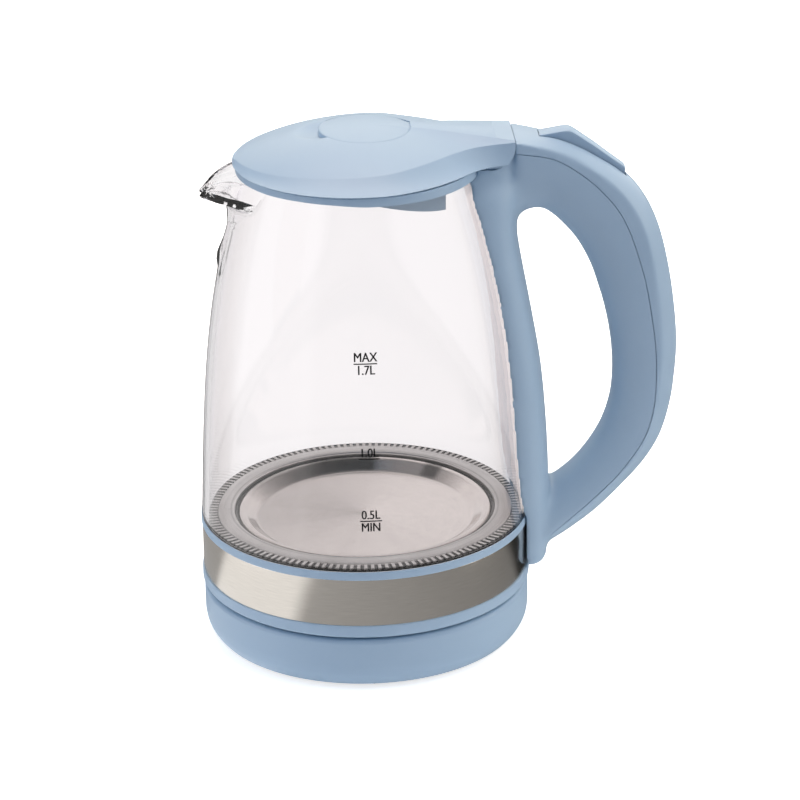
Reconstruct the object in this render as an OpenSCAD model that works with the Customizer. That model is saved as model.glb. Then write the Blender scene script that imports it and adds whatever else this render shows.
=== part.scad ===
// Cordless electric kettle with a glass body, standing on its power base.
// Frame: origin on the kettle's axis at the surface it stands on, +Z up,
// +X towards the handle, -X towards the spout.

/* [Body] */
// Outer diameter of the steel band, the widest round part of the kettle
band_d = 155; // [145:1:170]
// Height of the steel band
band_h = 23; // [16:1:30]
// Thickness of the steel band
band_t = 0.6; // [0.4:0.1:1]
// Wall of the moulded plastic shells
wall = 2.4; // [1.8:0.1:3]
// Wall of the glass body
glass_t = 3; // [2.4:0.1:3.4]
// Height of the glass body from its foot to its rim
glass_h = 169.5; // [160:0.5:190]
// How much narrower the rim of the glass is than its foot, on the radius
glass_taper = 25.2; // [18:0.1:26]
// How far the tip of the spout stands out from the axis
spout_reach = 75.6; // [72:0.2:80]

/* [Power base] */
// Height of the power base's deck above the table
deck_z = 27.6; // [24:0.2:34]
// Gap between the deck and the kettle
base_gap = 1; // [0.6:0.1:2]
// Height of the rubber feet below the bottom plate
foot_h = 2.5; // [2:0.1:4]
// Radius of the central socket
socket_r = 16; // [15:0.5:20]
// How far the socket rises above the deck
socket_h = 11.4; // [9:0.2:13]
// Radius of the cord's inlet hole
cord_r = 3.6; // [3:0.1:4.5]

/* [Heater] */
// Height of the sealing ring that carries the heating plate
gasket_h = 6; // [5:0.2:8]
// Number of ribs round the sealing ring
gasket_ribs = 96; // [48:1:120]
// Radius of the flat floor of the heating plate
plate_floor_r = 54; // [48:1:56]
// Radius of the centre line of the tubular heating element
element_r = 38; // [32:1:42]
// Diameter of the tubular heating element
element_d = 6.5; // [5:0.1:7.5]

/* [Lid] */
// Rise of the lid's crown above its bottom edge
lid_rise = 16.6; // [13:0.2:18]
// Radius of the round finger disc on the lid
disc_r = 21.3; // [18:0.1:24]
// Thickness of the lid's shell
lid_wall = 2.2; // [1.6:0.1:2.6]
// Distance from the rim of the glass out to the lid's hinge pin
hinge_out = 8.5; // [7.7:0.1:9.7]
// Radius of the hinge pin
hinge_pin_r = 1.4; // [1:0.1:1.6]
// Radius of the round back of the lid's neck about the hinge pin
neck_r = 10.9; // [10:0.1:11.2]

/* [Handle] */
// Half the width of the grip
grip_half = 13.5; // [12:0.5:16]
// Width of the switch lever at its pin
lever_w = 9.6; // [8:0.2:12]
// Width of the switch lever at its back end
lever_end_w = 6.4; // [5:0.2:8]
// Side play of the switch lever in its slot
lever_gap = 0.4; // [0.3:0.05:0.8]

/* [Fits] */
// Clearance between pieces that move past each other
move_gap = 0.3; // [0.2:0.05:0.5]
// Running clearance of pins in their bores, on the radius
run_gap = 0.05; // [0.02:0.01:0.1]

/* [Hidden] */
$fn = 96;
eps = 0.01;

blue = [0.62, 0.71, 0.82];
dark = [0.25, 0.26, 0.28];
steel = [0.78, 0.76, 0.73];
brass = [0.80, 0.66, 0.35];

// Heights of the round body, from the table up
band_r = band_d/2;
ring_z = deck_z + base_gap;
ring_h = 6.4;
band_z = ring_z + ring_h;
trim_z = band_z + band_h;
trim_h = 4.2;
glass_z = trim_z + trim_h;
rim_z = glass_z + glass_h;
shelf_z = glass_z - 2.4;
shelf_t = 2.4;
shelf_r = band_r - 11;
ring_proud = 0.6;
seat_r = band_r - band_t - 0.05;
glass_foot_r = band_r;

// Outside of the glass at a height t from 0 at its foot to 1 at its rim
function glass_r(t) = glass_foot_r - glass_taper*(0.33*t - 0.2*pow(t, 2) + 0.87*pow(t, 3));
function glass_at(z) = glass_r((z - glass_z)/glass_h);
glass_rim_r = glass_r(1);

// The outlines of the lid, the spout and the handle are drawn for these sizes of the body,
// and these functions move them with it
drawn_r = 77.5;
drawn_foot = 62.2;
drawn_neck = 206;
drawn_rim = 231.7;
function body_x(x) = x + band_r - drawn_r;
function body_z(z) = z < drawn_foot ? z + glass_z - drawn_foot
    : z > drawn_neck ? z + rim_z - drawn_rim
    : glass_z + (z - drawn_foot)*(rim_z - drawn_rim + drawn_neck - glass_z)/(drawn_neck - drawn_foot);
function body_point(p) = [body_x(p[0]), body_z(p[1])];

// Lid heights
collar_top = rim_z + 3.5;
lid_z = collar_top + move_gap;
hinge_z = lid_z + 8.8;
hinge_x = glass_rim_r + hinge_out;
neck_half = 16;
disc_z = lid_z + lid_rise - 1;

// Smooth curve through a list of points, with `per` steps between two of them
function cr(a, b, c, d, t) = 0.5*(2*b + (c - a)*t + (2*a - 5*b + 4*c - d)*t*t
    + (3*b - a - 3*c + d)*t*t*t);
function held(list, i) = list[max(0, min(len(list) - 1, i))];
function smooth(list, per) = concat(
    [for (i = [0:len(list) - 2]) for (k = [0:per - 1])
        cr(held(list, i - 1), list[i], list[i + 1], held(list, i + 2), k/per)],
    [list[len(list) - 1]]);

// Closed skin over rings that have the same number of points
module loft(rings) {
    n = len(rings[0]);
    m = len(rings);
    sides = [for (j = [0:m - 2]) for (i = [0:n - 1])
        [j*n + i, j*n + (i + 1)%n, (j + 1)*n + (i + 1)%n, (j + 1)*n + i]];
    caps = [[for (i = [n - 1:-1:0]) i], [for (i = [0:n - 1]) (m - 1)*n + i]];
    polyhedron([for (r = rings) for (p = r) p], concat(sides, caps), convexity = 6);
}

// Countersunk screw with a cross slot, head up at z = 0
module screw(head_r, shank_r, length) {
    difference() {
        union() {
            translate([0, 0, -1.6]) cylinder(r1 = shank_r, r2 = head_r, h = 1.2, $fn = 24);
            translate([0, 0, -0.4]) cylinder(r = head_r, h = 0.4, $fn = 24);
            translate([0, 0, -length]) cylinder(r = shank_r, h = length - 0.6, $fn = 24);
        }
        for (a = [0, 90]) rotate([0, 0, a])
            translate([-head_r*0.6, -0.35, -0.8]) cube([head_r*1.2, 0.7, 1]);
    }
}

// Room for the countersunk screw above, with a free hole for its shank
module sink(head_r, shank_r, length) {
    translate([0, 0, -1.7]) cylinder(r1 = shank_r + 0.1, r2 = head_r + 0.1, h = 1.2, $fn = 24);
    translate([0, 0, -0.5]) cylinder(r = head_r + 0.1, h = 4, $fn = 24);
    translate([0, 0, -length - 0.2]) cylinder(r = shank_r + 0.05, h = length, $fn = 24);
}

// ---- Power base ----

base_r = band_r - 0.1;
plate_z = foot_h;
plate_t = 2.2;
foot_ring_r = base_r - 16;
base_screw_r = base_r - 28;
base_post_r = 4;
rest_boss_r = 10;
gland_z = 13;
gland_r = cord_r + 2.6;
socket_base_z = deck_z - wall - 4;
socket_top = deck_z + socket_h;

module base_profile() {
    polygon([[socket_r + move_gap, deck_z], [base_r - 2.2, deck_z], [base_r - 0.8, deck_z - 0.6],
        [base_r, deck_z - 2], [base_r, 13], [base_r - 0.7, 9], [base_r - 2.6, 5.4],
        [base_r - 5, foot_h + 0.2], [base_r - 5 - wall, foot_h + 0.2], [base_r - 2.6 - wall, 7],
        [base_r - wall, 12.5], [base_r - wall, deck_z - wall], [socket_r + move_gap, deck_z - wall]]);
}

module base_cover() {
    color(blue) difference() {
        union() {
            rotate_extrude() base_profile();
            for (a = [45:90:315]) rotate([0, 0, a]) translate([base_screw_r, 0, plate_z + plate_t])
                cylinder(r = base_post_r, h = deck_z - wall - plate_z - plate_t + eps, $fn = 32);
        }
        for (a = [45:90:315]) rotate([0, 0, a]) translate([base_screw_r, 0, 0])
            cylinder(r = 1.45, h = deck_z - wall - 2, $fn = 24);
        translate([0, base_r + 1, gland_z]) rotate([90, 0, 0]) cylinder(r = gland_r, h = 12, $fn = 48);
    }
}

module base_bottom() {
    color(dark) difference() {
        union() {
            translate([0, 0, plate_z]) cylinder(r = base_r - 5.2 - wall, h = plate_t);
            cylinder(r = rest_boss_r, h = plate_z + plate_t);
        }
        for (a = [45:90:315]) rotate([0, 0, a]) translate([base_screw_r, 0, plate_z + 0.5])
            mirror([0, 0, 1]) sink(3, 1.4, 14);
        for (a = [0:90:270]) rotate([0, 0, a]) translate([foot_ring_r, 0, plate_z - 1])
            cylinder(r = 6, h = 1.8, $fn = 48);
    }
}

module base_feet() {
    color(dark) for (a = [0:90:270]) rotate([0, 0, a]) translate([foot_ring_r, 0, 0]) {
        cylinder(r1 = 5.2, r2 = 6, h = 0.8, $fn = 48);
        translate([0, 0, 0.8]) cylinder(r = 6, h = plate_z, $fn = 48);
    }
}

module base_screws() {
    color(steel) for (a = [45:90:315]) rotate([0, 0, a])
        translate([base_screw_r, 0, plate_z + 0.5]) mirror([0, 0, 1]) screw(3, 1.4, 14);
}

pin_r = 3;
socket_bore_r = pin_r + 1.6;
groove_rs = [8.5, 12.5];
groove_w = 2;
socket_floor = socket_base_z + 3;

module base_socket() {
    color(dark) difference() {
        union() {
            translate([0, 0, socket_base_z])
                cylinder(r = socket_r, h = socket_top - socket_base_z - 1);
            translate([0, 0, socket_top - 1]) cylinder(r1 = socket_r, r2 = socket_r - 1, h = 1);
            translate([0, 0, socket_base_z]) cylinder(r = socket_r + 8, h = deck_z - wall - socket_base_z);
        }
        translate([0, 0, socket_floor]) cylinder(r = socket_bore_r, h = socket_top);
        for (r = groove_rs) translate([0, 0, socket_floor]) difference() {
            cylinder(r = r + groove_w/2, h = socket_top);
            translate([0, 0, -1]) cylinder(r = r - groove_w/2, h = socket_top + 2);
        }
    }
}

contact_t = 0.4;
module socket_contacts() {
    color(brass) {
        for (r = groove_rs) translate([0, 0, socket_floor]) difference() {
            cylinder(r = r + groove_w/2, h = socket_h - 4);
            translate([0, 0, -1]) cylinder(r = r + groove_w/2 - contact_t, h = socket_h);
        }
        translate([0, 0, socket_floor]) difference() {
            cylinder(r = socket_bore_r, h = socket_h - 4);
            translate([0, 0, -1]) cylinder(r = socket_bore_r - contact_t, h = socket_h);
        }
    }
}

module cord_gland() {
    color(dark) translate([0, base_r - 0.6, gland_z]) rotate([90, 0, 0]) difference() {
        union() {
            cylinder(r = gland_r - 0.1, h = 9, $fn = 48);
            translate([0, 0, wall + 3.4]) cylinder(r = gland_r + 0.8, h = 2, $fn = 48);
        }
        translate([0, 0, -1]) cylinder(r = cord_r, h = 12);
    }
}

// ---- Connector that couples kettle and base and lets the kettle turn ----

cup_r = socket_r + move_gap + 1.1;
cup_roof = socket_top + 1.2;
cup_wall = 2.6;
cup_flange_r = cup_r + cup_wall + 3;
cup_foot = ring_z - base_gap + move_gap;

module kettle_connector() {
    color(dark) difference() {
        union() {
            translate([0, 0, cup_foot]) cylinder(r = cup_r + cup_wall, h = cup_roof + 2.4 - cup_foot);
            translate([0, 0, cup_roof]) cylinder(r = cup_flange_r, h = 2.4);
        }
        translate([0, 0, cup_foot - 1]) cylinder(r = cup_r, h = cup_roof - cup_foot + 1);
        cylinder(r = pin_r, h = cup_roof + 10);
    }
}

module connector_contacts() {
    color(brass) {
        translate([0, 0, socket_floor + 2]) cylinder(r = pin_r, h = cup_roof + 2.4 - socket_floor - 2);
        for (r = groove_rs) translate([0, 0, socket_floor + 2]) difference() {
            cylinder(r = r + 0.3, h = cup_roof - socket_floor - 2);
            translate([0, 0, -1]) cylinder(r = r - 0.3, h = cup_roof);
        }
    }
}

// ---- Lower part of the kettle ----

cover_z = ring_z + 0.4;
cover_t = 2.2;
cover_r = band_r - 4.2;
cover_screw_r = cover_r - 12;

module bottom_housing() {
    in_r = seat_r - wall;
    color(blue) difference() {
        union() {
            rotate_extrude() polygon([[band_r - 1, ring_z], [band_r + ring_proud, ring_z + 1.4],
                [band_r + ring_proud, band_z - 0.5], [band_r + 0.2, band_z], [seat_r, band_z],
                [seat_r, trim_z], [band_r + 0.2, trim_z], [band_r + 0.4, trim_z + 0.5],
                [band_r + 0.4, glass_z - 0.5], [glass_foot_r, glass_z],
                [glass_foot_r - glass_t, glass_z], [glass_foot_r - glass_t, shelf_z],
                [shelf_r, shelf_z], [shelf_r, shelf_z - shelf_t], [in_r, shelf_z - shelf_t],
                [in_r, ring_z]]);
            for (a = [60:120:300]) rotate([0, 0, a]) {
                translate([cover_screw_r, 0, cover_z + cover_t])
                    cylinder(r = 3.6, h = 14, $fn = 32);
                translate([cover_screw_r, -1, cover_z + cover_t])
                    cube([in_r - cover_screw_r + 0.5, 2, 14]);
            }
        }
        for (a = [60:120:300]) rotate([0, 0, a]) translate([cover_screw_r, 0, 0])
            cylinder(r = 1.45, h = cover_z + cover_t + 11, $fn = 24);
        translate([seat_r - wall - 3, 0, foot_screw_z]) rotate([0, 90, 0]) {
            cylinder(r = 1.5, h = 20, $fn = 24);
            cylinder(r = 3.1, h = 4.7, $fn = 24);
        }
    }
}

module underside_cover() {
    hub_r = cup_r + cup_wall + move_gap;
    color(dark) difference() {
        union() {
            translate([0, 0, cover_z]) cylinder(r = cover_r, h = cover_t);
            translate([0, 0, cover_z]) cylinder(r = hub_r + 2, h = cup_roof - cover_z - move_gap);
        }
        cylinder(r = hub_r, h = 100);
        for (a = [60:120:300]) rotate([0, 0, a]) translate([cover_screw_r, 0, cover_z + 0.4])
            mirror([0, 0, 1]) sink(3, 1.4, 12);
    }
}

module underside_screws() {
    color(steel) for (a = [60:120:300]) rotate([0, 0, a])
        translate([cover_screw_r, 0, cover_z + 0.4]) mirror([0, 0, 1]) screw(3, 1.4, 12);
}

module steel_band() {
    color(steel) translate([0, 0, band_z]) difference() {
        cylinder(r = band_r, h = band_h);
        translate([0, 0, -1]) cylinder(r = band_r - band_t, h = band_h + 2);
        translate([band_r - 10, 0, band_h/2]) rotate([0, 90, 0]) cylinder(r = 1.6, h = 20, $fn = 24);
    }
}

// Spout: [height below the rim, half-angle of its root, reach of its nose from the axis]
spout = [[27.7, 6, 61.7], [22.7, 14, 60.9], [18.7, 21, 60.8], [16.4, 24, 62.2], [15.2, 25, 65.2],
    [13.7, 26.5, 69.2], [12.2, 28, 73.2], [10.7, 29, 75.6], [6.2, 31.5, 74], [1.2, 34, 69.5],
    [-1.3, 36, 67]];
spout_shift = spout_reach - 75.6;
// Half section of the spout at one height: root on the glass, then the flank to the nose
function spout_ring(s, inset, rise) = let(z = rim_z - s[0] + rise, r = glass_at(z) - inset,
    root = [-r*cos(s[1]), r*sin(s[1]) - inset*0.6],
    nose = body_x(s[2]) + spout_shift*pow(s[2]/75, 3) - inset*1.1)
    [for (k = [-8:8]) let(q = k/8, d = 1 - pow(abs(q), 1.25))
        [root[0] - (nose + root[0])*d, root[1]*q, z], [-r*0.7, root[1]*0.7, z], [-r*0.7, -root[1]*0.7, z]];
rim_line = [[-90, 20], [-79, 14], [-75, 11.7], [-73.5, 9.7], [-71.3, 8.4], [-68, 5.3],
    [-64.7, 3.1], [-61.5, 1.5], [-57.9, 0.5], [-50, 0], [-30, 0], [-30, -9], [-90, -9]];

module glass_solid(inset, from_z) {
    steps = 20;
    rotate_extrude() polygon(concat([[0, from_z]],
        [for (i = [0:steps]) let(z = glass_z + (glass_h + inset)*i/steps)
            [glass_at(min(z, rim_z)) - inset, max(z, from_z)]], [[0, rim_z + inset]]));
}

module glass_body() {
    color([0.85, 0.9, 0.93, 0.35]) difference() {
        union() {
            glass_solid(0, glass_z);
            loft([for (s = spout) spout_ring(s, 0, 0)]);
        }
        glass_solid(glass_t, glass_z - 1);
        loft([for (s = spout) spout_ring(s, glass_t*0.9, glass_t*0.9)]);
        rotate([90, 0, 0]) translate([0, rim_z, -50]) linear_extrude(100)
            polygon([for (p = rim_line) [-body_x(-p[0]) - (p[0] < -50 ? spout_shift : 0), -p[1]]]);
    }
}

gasket_r = glass_foot_r - glass_t - 0.2;
rib_w = 1.4;
rib_h = 4.4;
module plate_gasket() {
    lip_z = shelf_z + 1.1;
    color([0.66, 0.66, 0.65]) difference() {
        rotate_extrude() polygon([[gasket_r - 8, shelf_z], [gasket_r, shelf_z],
            [gasket_r, shelf_z + gasket_h], [gasket_r - 6.8, shelf_z + gasket_h],
            [gasket_r - 7.4, lip_z], [gasket_r - 10, lip_z], [gasket_r - 10, shelf_z + 0.2]]);
        translate([0, 0, shelf_z + 0.8]) linear_extrude(rib_h) difference() {
            for (i = [0:gasket_ribs - 1]) rotate([0, 0, (i + 0.5)*360/gasket_ribs])
                translate([gasket_r - 0.9, -(PI*gasket_r/gasket_ribs - rib_w/2)])
                    square([2, 2*(PI*gasket_r/gasket_ribs - rib_w/2)]);
        }
    }
}

plate_t2 = 0.8;
floor_z = shelf_z - 2;
module heating_plate() {
    rim = gasket_r - 7.7;
    top = shelf_z + 1.1;
    color(steel) rotate_extrude() polygon([[0, floor_z - plate_t2], [plate_floor_r, floor_z - plate_t2],
        [rim - 2.6, top], [rim, top], [rim, top + plate_t2], [rim - 3, top + plate_t2],
        [plate_floor_r - 0.4, floor_z], [0, floor_z]]);
}

spreader_t = 3.4;
module heat_spreader() {
    color([0.8, 0.8, 0.8]) translate([0, 0, floor_z - plate_t2 - spreader_t])
        cylinder(r = plate_floor_r - 9, h = spreader_t);
}

element_z = floor_z - plate_t2 - spreader_t - element_d/2;
element_gap = 40;
module element_tube() {
    rotate([0, 0, element_gap/2]) rotate_extrude(angle = 360 - element_gap)
        translate([element_r, element_z]) circle(d = element_d, $fn = 32);
}

module heating_element() {
    color([0.55, 0.55, 0.56]) element_tube();
}

module element_terminals() {
    color(brass) difference() {
        for (a = [-1, 1]) rotate([0, 0, a*(element_gap/2 + 3)])
            translate([element_r, 0, element_z - element_d/2 - 5])
                cylinder(r = 1.6, h = 6, $fn = 24);
        element_tube();
    }
}

carrier_z = cup_roof + 2.4 + move_gap;
carrier_post = element_r - element_d/2 - 5.5;
module connector_carrier() {
    color([0.9, 0.9, 0.88]) difference() {
        union() {
            translate([0, 0, carrier_z]) cylinder(r = cup_flange_r + 2, h = 1.6);
            for (a = [30:120:270]) rotate([0, 0, a]) {
                translate([cup_flange_r - 2, -3, carrier_z])
                    cube([carrier_post + 2 - cup_flange_r, 6, 1.6]);
                translate([carrier_post, 0, carrier_z])
                    cylinder(r = 3, h = floor_z - plate_t2 - spreader_t - carrier_z, $fn = 32);
            }
        }
        for (a = [30:120:270]) rotate([0, 0, a]) translate([carrier_post, 0, carrier_z - 1])
            cylinder(r = 1.3, h = 6, $fn = 24);
    }
}

control_h = floor_z - plate_t2 - spreader_t - carrier_z - 1.6;
module dry_boil_control() {
    color([0.93, 0.93, 0.9]) translate([-12, -9, carrier_z + 1.6]) cube([24, 18, control_h - 1]);
    color(steel) for (y = [-5, 5]) translate([0, y, carrier_z + control_h + 0.6])
        cylinder(r = 3, h = 1, $fn = 32);
}

// ---- Neck of the kettle: collar, hinge and handle ----

collar_r = glass_rim_r + 4;
collar_in = glass_rim_r - 1.7;
neck_gap_half = neck_half + 5;

// Room that the round back of the lid's neck sweeps about the hinge pin
module neck_sweep(r, half) {
    translate([hinge_x, half, hinge_z]) rotate([90, 0, 0]) cylinder(r = r, h = 2*half);
}

module neck_collar() {
    color(blue) difference() {
        rotate_extrude() polygon([[collar_in, rim_z], [collar_r - 0.5, rim_z], [collar_r, rim_z + 0.5],
            [collar_r, collar_top], [collar_in, collar_top]]);
        neck_sweep(neck_r + move_gap, neck_gap_half);
    }
}

bracket_z = hinge_z - neck_r - move_gap - 1.7;
bracket_t = 1.5;
ear_y = 9.2;
ear_t = 3;
ear_r = 1.8;
bracket_x = [hinge_x - 3.8, hinge_x + 6.7];
bracket_half = 14;
bracket_screw = [hinge_x + 3.6, 6];

module hinge_bracket() {
    color(steel) difference() {
        union() {
            translate([bracket_x[0], -bracket_half, bracket_z])
                cube([bracket_x[1] - bracket_x[0], 2*bracket_half, bracket_t]);
            for (y = [ear_y, -ear_y - ear_t]) translate([0, y + ear_t, 0]) rotate([90, 0, 0])
                linear_extrude(ear_t) union() {
                    translate([hinge_x, hinge_z]) circle(r = ear_r, $fn = 32);
                    polygon([[bracket_x[0], bracket_z], [hinge_x - 1, bracket_z],
                        [hinge_x - 1, bracket_z + bracket_t],
                        [hinge_x + ear_r - 0.3, hinge_z - 1], [hinge_x - ear_r + 0.1, hinge_z - 0.4],
                        [bracket_x[0], bracket_z + bracket_t + 1]]);
                }
        }
        translate([hinge_x, 50, hinge_z]) rotate([90, 0, 0]) cylinder(r = hinge_pin_r, h = 100);
        for (y = [-1, 1]) translate([bracket_screw[0], y*bracket_screw[1], bracket_z - 1]) {
            cylinder(r = 1.6, h = 5, $fn = 24);
            translate([0, 0, 1.1]) cylinder(r = 2.5, h = 3, $fn = 24);
        }
        translate([bracket_screw[0] - 1, 0, bracket_z - 1]) cylinder(r = 2.9, h = 5);
    }
}

module bracket_screws() {
    color(steel) for (y = [-1, 1])
        translate([bracket_screw[0], y*bracket_screw[1], bracket_z + bracket_t]) screw(2.4, 1.3, 9);
}

module hinge_pin() {
    color(steel) translate([hinge_x, ear_y + ear_t, hinge_z]) rotate([90, 0, 0])
        cylinder(r = hinge_pin_r, h = 2*(ear_y + ear_t));
}

// Strip of the handle against the glass: [height, outer face, half-width]
strip = [[35.8, 84.4, 19], [36.4, 85.4, 20], [37.6, 86.1, 21], [40, 86.6, 21.8], [48, 87, 22.3],
    [58, 87.3, 22.6], [67, 87.4, 25], [77, 87.4, 28.6], [90, 87, 30], [110, 86, 30],
    [135, 83.8, 29.4], [160, 79.8, 28.4], [185, 75.4, 27.2], [200, 73.2, 26.3], [213, 73.5, 25],
    [221, 74, 24], [227, 74, 20.5], [232, 73.5, 18], [238, 73, 16.4], [245.4, 72.4, 15.6]];
strip_n = 2.6;
function inner_r(z) = z < glass_z + 1 ? band_r + ring_proud + move_gap
    : z < rim_z ? glass_at(z) + move_gap : collar_r + move_gap;
function strip_ring(z, out, half) = let(r = inner_r(z), a = asin(half/r), root = r*cos(a))
    concat([for (k = [-4:4]) [r*cos(a*k/4), r*sin(a*k/4), z]],
        [for (k = [1:11]) let(t = 180*k/12, c = cos(t))
            [root + (out - root)*pow(sin(t), 2/strip_n), half*sign(c)*pow(abs(c), 2/strip_n), z]]);

// Grip: [outer x, outer z, inner x, inner z, half-width, drop from the crown to the edge]
grip = [[71.9, 246.4, 70, 203, 15.6, 1], [80, 245.7, 77, 208.6, 15.4, 2.2],
    [90.6, 244.2, 84, 209.8, 15, 4], [101, 240.2, 90, 206, 14.8, 4.8],
    [111.2, 234, 95.7, 200.2, 14.5, 5.2], [120.4, 227.6, 100.6, 194.2, 14.2, 6],
    [128.2, 220, 104.5, 187.6, 14, 7], [134.7, 210.2, 108, 180, 13.8, 7.5],
    [140, 197, 111, 171, 13.6, 7.8], [144, 180.2, 114, 160.5, 13.4, 8.2],
    [146.9, 161.2, 116.2, 150, 13.3, 8.2], [148.4, 142, 117.7, 139, 13.3, 8.4],
    [147.7, 126, 118.2, 127, 13.3, 8.5], [145.6, 110, 117.2, 114.5, 13.4, 8.7],
    [141.2, 94.6, 113.6, 102, 13.8, 8.5], [134, 82, 107.8, 91, 14.4, 8.5],
    [124, 70.4, 101, 82, 15.2, 8.5], [111.6, 58, 94, 75.4, 16.2, 8.5],
    [99, 48.4, 88.4, 71.4, 17.4, 8], [89, 42.6, 83, 69, 18.6, 7.5],
    [80.6, 39.4, 79.4, 66, 19.2, 7]];
grip_n = 2.6;
// Half of the grip's section, as [sideways, outwards], from the crown over the edge to the palm
function grip_half_section(t, w, drop) = concat(
    [for (k = [0:4]) [w*k/4, t - drop*pow(k/4, 2)]],
    [for (k = [1:7]) let(a = 90*k/7) [w*pow(cos(a), 2/grip_n),
        t - drop - (2*t - drop)*pow(sin(a), 2/grip_n)]]);
function grip_ring(s, inset) = let(mid = [s[0] + s[2], s[1] + s[3]]/2, out = [s[0] - s[2], s[1] - s[3]]/2,
    t = norm(out), u = out/t,
    half = grip_half_section(t - inset, s[4]*grip_half/13.5 - inset, s[5]))
    [for (p = concat(half, [for (i = [len(half) - 2:-1:1]) [-half[i][0], half[i][1]]]))
        [mid[0] + u[0]*p[1], p[0], mid[1] + u[1]*p[1]]];
grip_path = [for (s = smooth(grip, 2))
    [body_x(s[0]), body_z(s[1]), body_x(s[2]), body_z(s[3]), s[4], s[5]]];
hollow_path = [for (i = [2:len(grip_path) - 5]) grip_path[i]];

// Side view of the cover's region: outside the parting line of the handle
parting = [[60, 240.2], [72, 240], [78, 239.2], [84, 238.2], [90.3, 236.3], [97.7, 232], [106, 225.6],
    [112, 219.6], [120, 209.4], [126, 196], [132, 175.6], [135.4, 156], [137.2, 141], [137.5, 123],
    [136, 108.6], [131.5, 95.4], [121, 80.4], [111, 70.4], [101.6, 62], [92.2, 54.4], [87.8, 51]];
cover_edge = [[87.8, 20], [190, 20], [190, 270], [60, 270]];
cover_side = [for (p = concat(parting, cover_edge)) body_point(p)];

module parting_block() {
    rotate([90, 0, 0]) translate([0, 0, -50]) linear_extrude(100) polygon(cover_side);
}

module grip_solid() {
    loft([for (s = grip_path) grip_ring(s, 0)]);
}

module grip_hollow() {
    loft([for (s = hollow_path) grip_ring(s, wall)]);
}

module strip_solid() {
    loft([for (s = strip) strip_ring(body_z(s[0]), body_x(s[1]), s[2])]);
}

// Everything on the kettle's side that the handle has to stay clear of
module handle_seat() {
    neck_sweep(neck_r + move_gap, neck_gap_half);
    translate([hinge_x - 100, -50, hinge_z - neck_r]) cube([100, 100, 60]);
    translate([0, 0, rim_z - 1.2]) cylinder(r = collar_r, h = 60);
}

// Slot on top of the handle that the switch lever sinks into
lever_x = body_x(88);
lever_z = body_z(233);
lever_pin_r = 1.2;
lug_r = 2.6;
push_x = lever_x + 11;
push_z = lever_z + 3;
lever_top = [for (p = [[83.6, 245.4], [87, 246.4], [92, 247.6], [96.8, 248], [99.4, 247], [104, 243.8],
    [109.6, 239.7], [116.7, 234], [123, 229.2], [123.8, 228.2]]) body_point(p)];
lever_foot = [for (p = [[123.6, 223.6], [116, 228], [108, 233.2], [101.5, 236.6]]) body_point(p)];
lever_low = concat(lever_foot, [[push_x + 2, push_z], [push_x - 2, push_z],
    [push_x - 3, lever_z + 4.4], [lever_x + lug_r, lever_z + 4.4], [lever_x + lug_r, lever_z],
    [lever_x - lug_r, lever_z], [lever_x - lug_r, lever_z + 7]]);
lever_taper_x = lever_x + 12;
lever_end_x = lever_foot[0][0] + lever_gap;
// Plan view of the lever, or of its slot when grown by the side play
module lever_plan(grow) {
    half = lever_w/2 + grow;
    end_half = lever_end_w/2 + grow;
    translate([0, 0, lever_z - 30]) linear_extrude(60)
        polygon([[lever_x - 10, -half], [lever_taper_x, -half], [lever_end_x, -end_half],
            [lever_end_x, end_half], [lever_taper_x, half], [lever_x - 10, half]]);
}
module lever_slot() {
    intersection() {
        lever_plan(lever_gap);
        rotate([90, 0, 0]) translate([0, 0, -lever_w]) linear_extrude(2*lever_w)
            polygon([[lever_top[0][0] - lever_gap, lever_z + 20],
                [lever_top[0][0] - lever_gap, lever_z - lug_r - 1],
                [lever_x + 8, lever_z - lug_r - 1], [lever_x + 20, lever_z - 4],
                [lever_x + 27, lever_z - 9.2], [lever_end_x, lever_z - 16.2],
                [lever_end_x, lever_z + 20]]);
    }
}

tube_from = [hinge_x + 3.2, 0, bracket_z - 2.7];
tube_run = 17;
tube_tilt = 128;
module steam_bore(r) {
    translate(tube_from) rotate([0, tube_tilt, 0]) cylinder(r = r, h = tube_run, $fn = 48);
}

foot_screw_z = band_z + band_h/2;
// Where a cover screw's head rests on the finger side of the grip: [x, z]
cover_screw = [body_point([112.8, 165]), body_point([117.2, 115])];
cover_boss_r = 3.4;
cover_boss_end = body_x(144.6);
lever_pin_half = 10;
boss_half = 12.8;

module handle_body() {
    color(blue) {
        difference() {
            union() {
                difference() {
                    union() {
                        strip_solid();
                        grip_solid();
                    }
                    grip_hollow();
                    parting_block();
                }
                translate([lever_x, boss_half, lever_z]) rotate([90, 0, 0])
                    cylinder(r = lug_r, h = 2*boss_half);
            }
            handle_seat();
            lever_slot();
            steam_bore(3);
            translate([bracket_x[0] - 1, -bracket_half, bracket_z])
                cube([bracket_x[1] - bracket_x[0] + 1, 2*bracket_half, 9]);
            for (y = [-1, 1]) translate([bracket_screw[0], y*bracket_screw[1], bracket_z - 9])
                cylinder(r = 1.35, h = 10, $fn = 24);
            translate([bracket_screw[0] - 1, 0, bracket_z - 4]) cylinder(r = 2.9, h = 5);
            translate([lever_x, lever_pin_half, lever_z]) rotate([90, 0, 0])
                cylinder(r = lever_pin_r, h = 2*lever_pin_half);
            translate([seat_r - wall, 0, foot_screw_z]) rotate([0, 90, 0])
                cylinder(r = 1.35, h = 14, $fn = 24);
            for (p = cover_screw) translate([p[0] + 1, 0, p[1]]) rotate([0, -90, 0]) sink(2.8, 1.3, 14);
        }
    }
}

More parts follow.
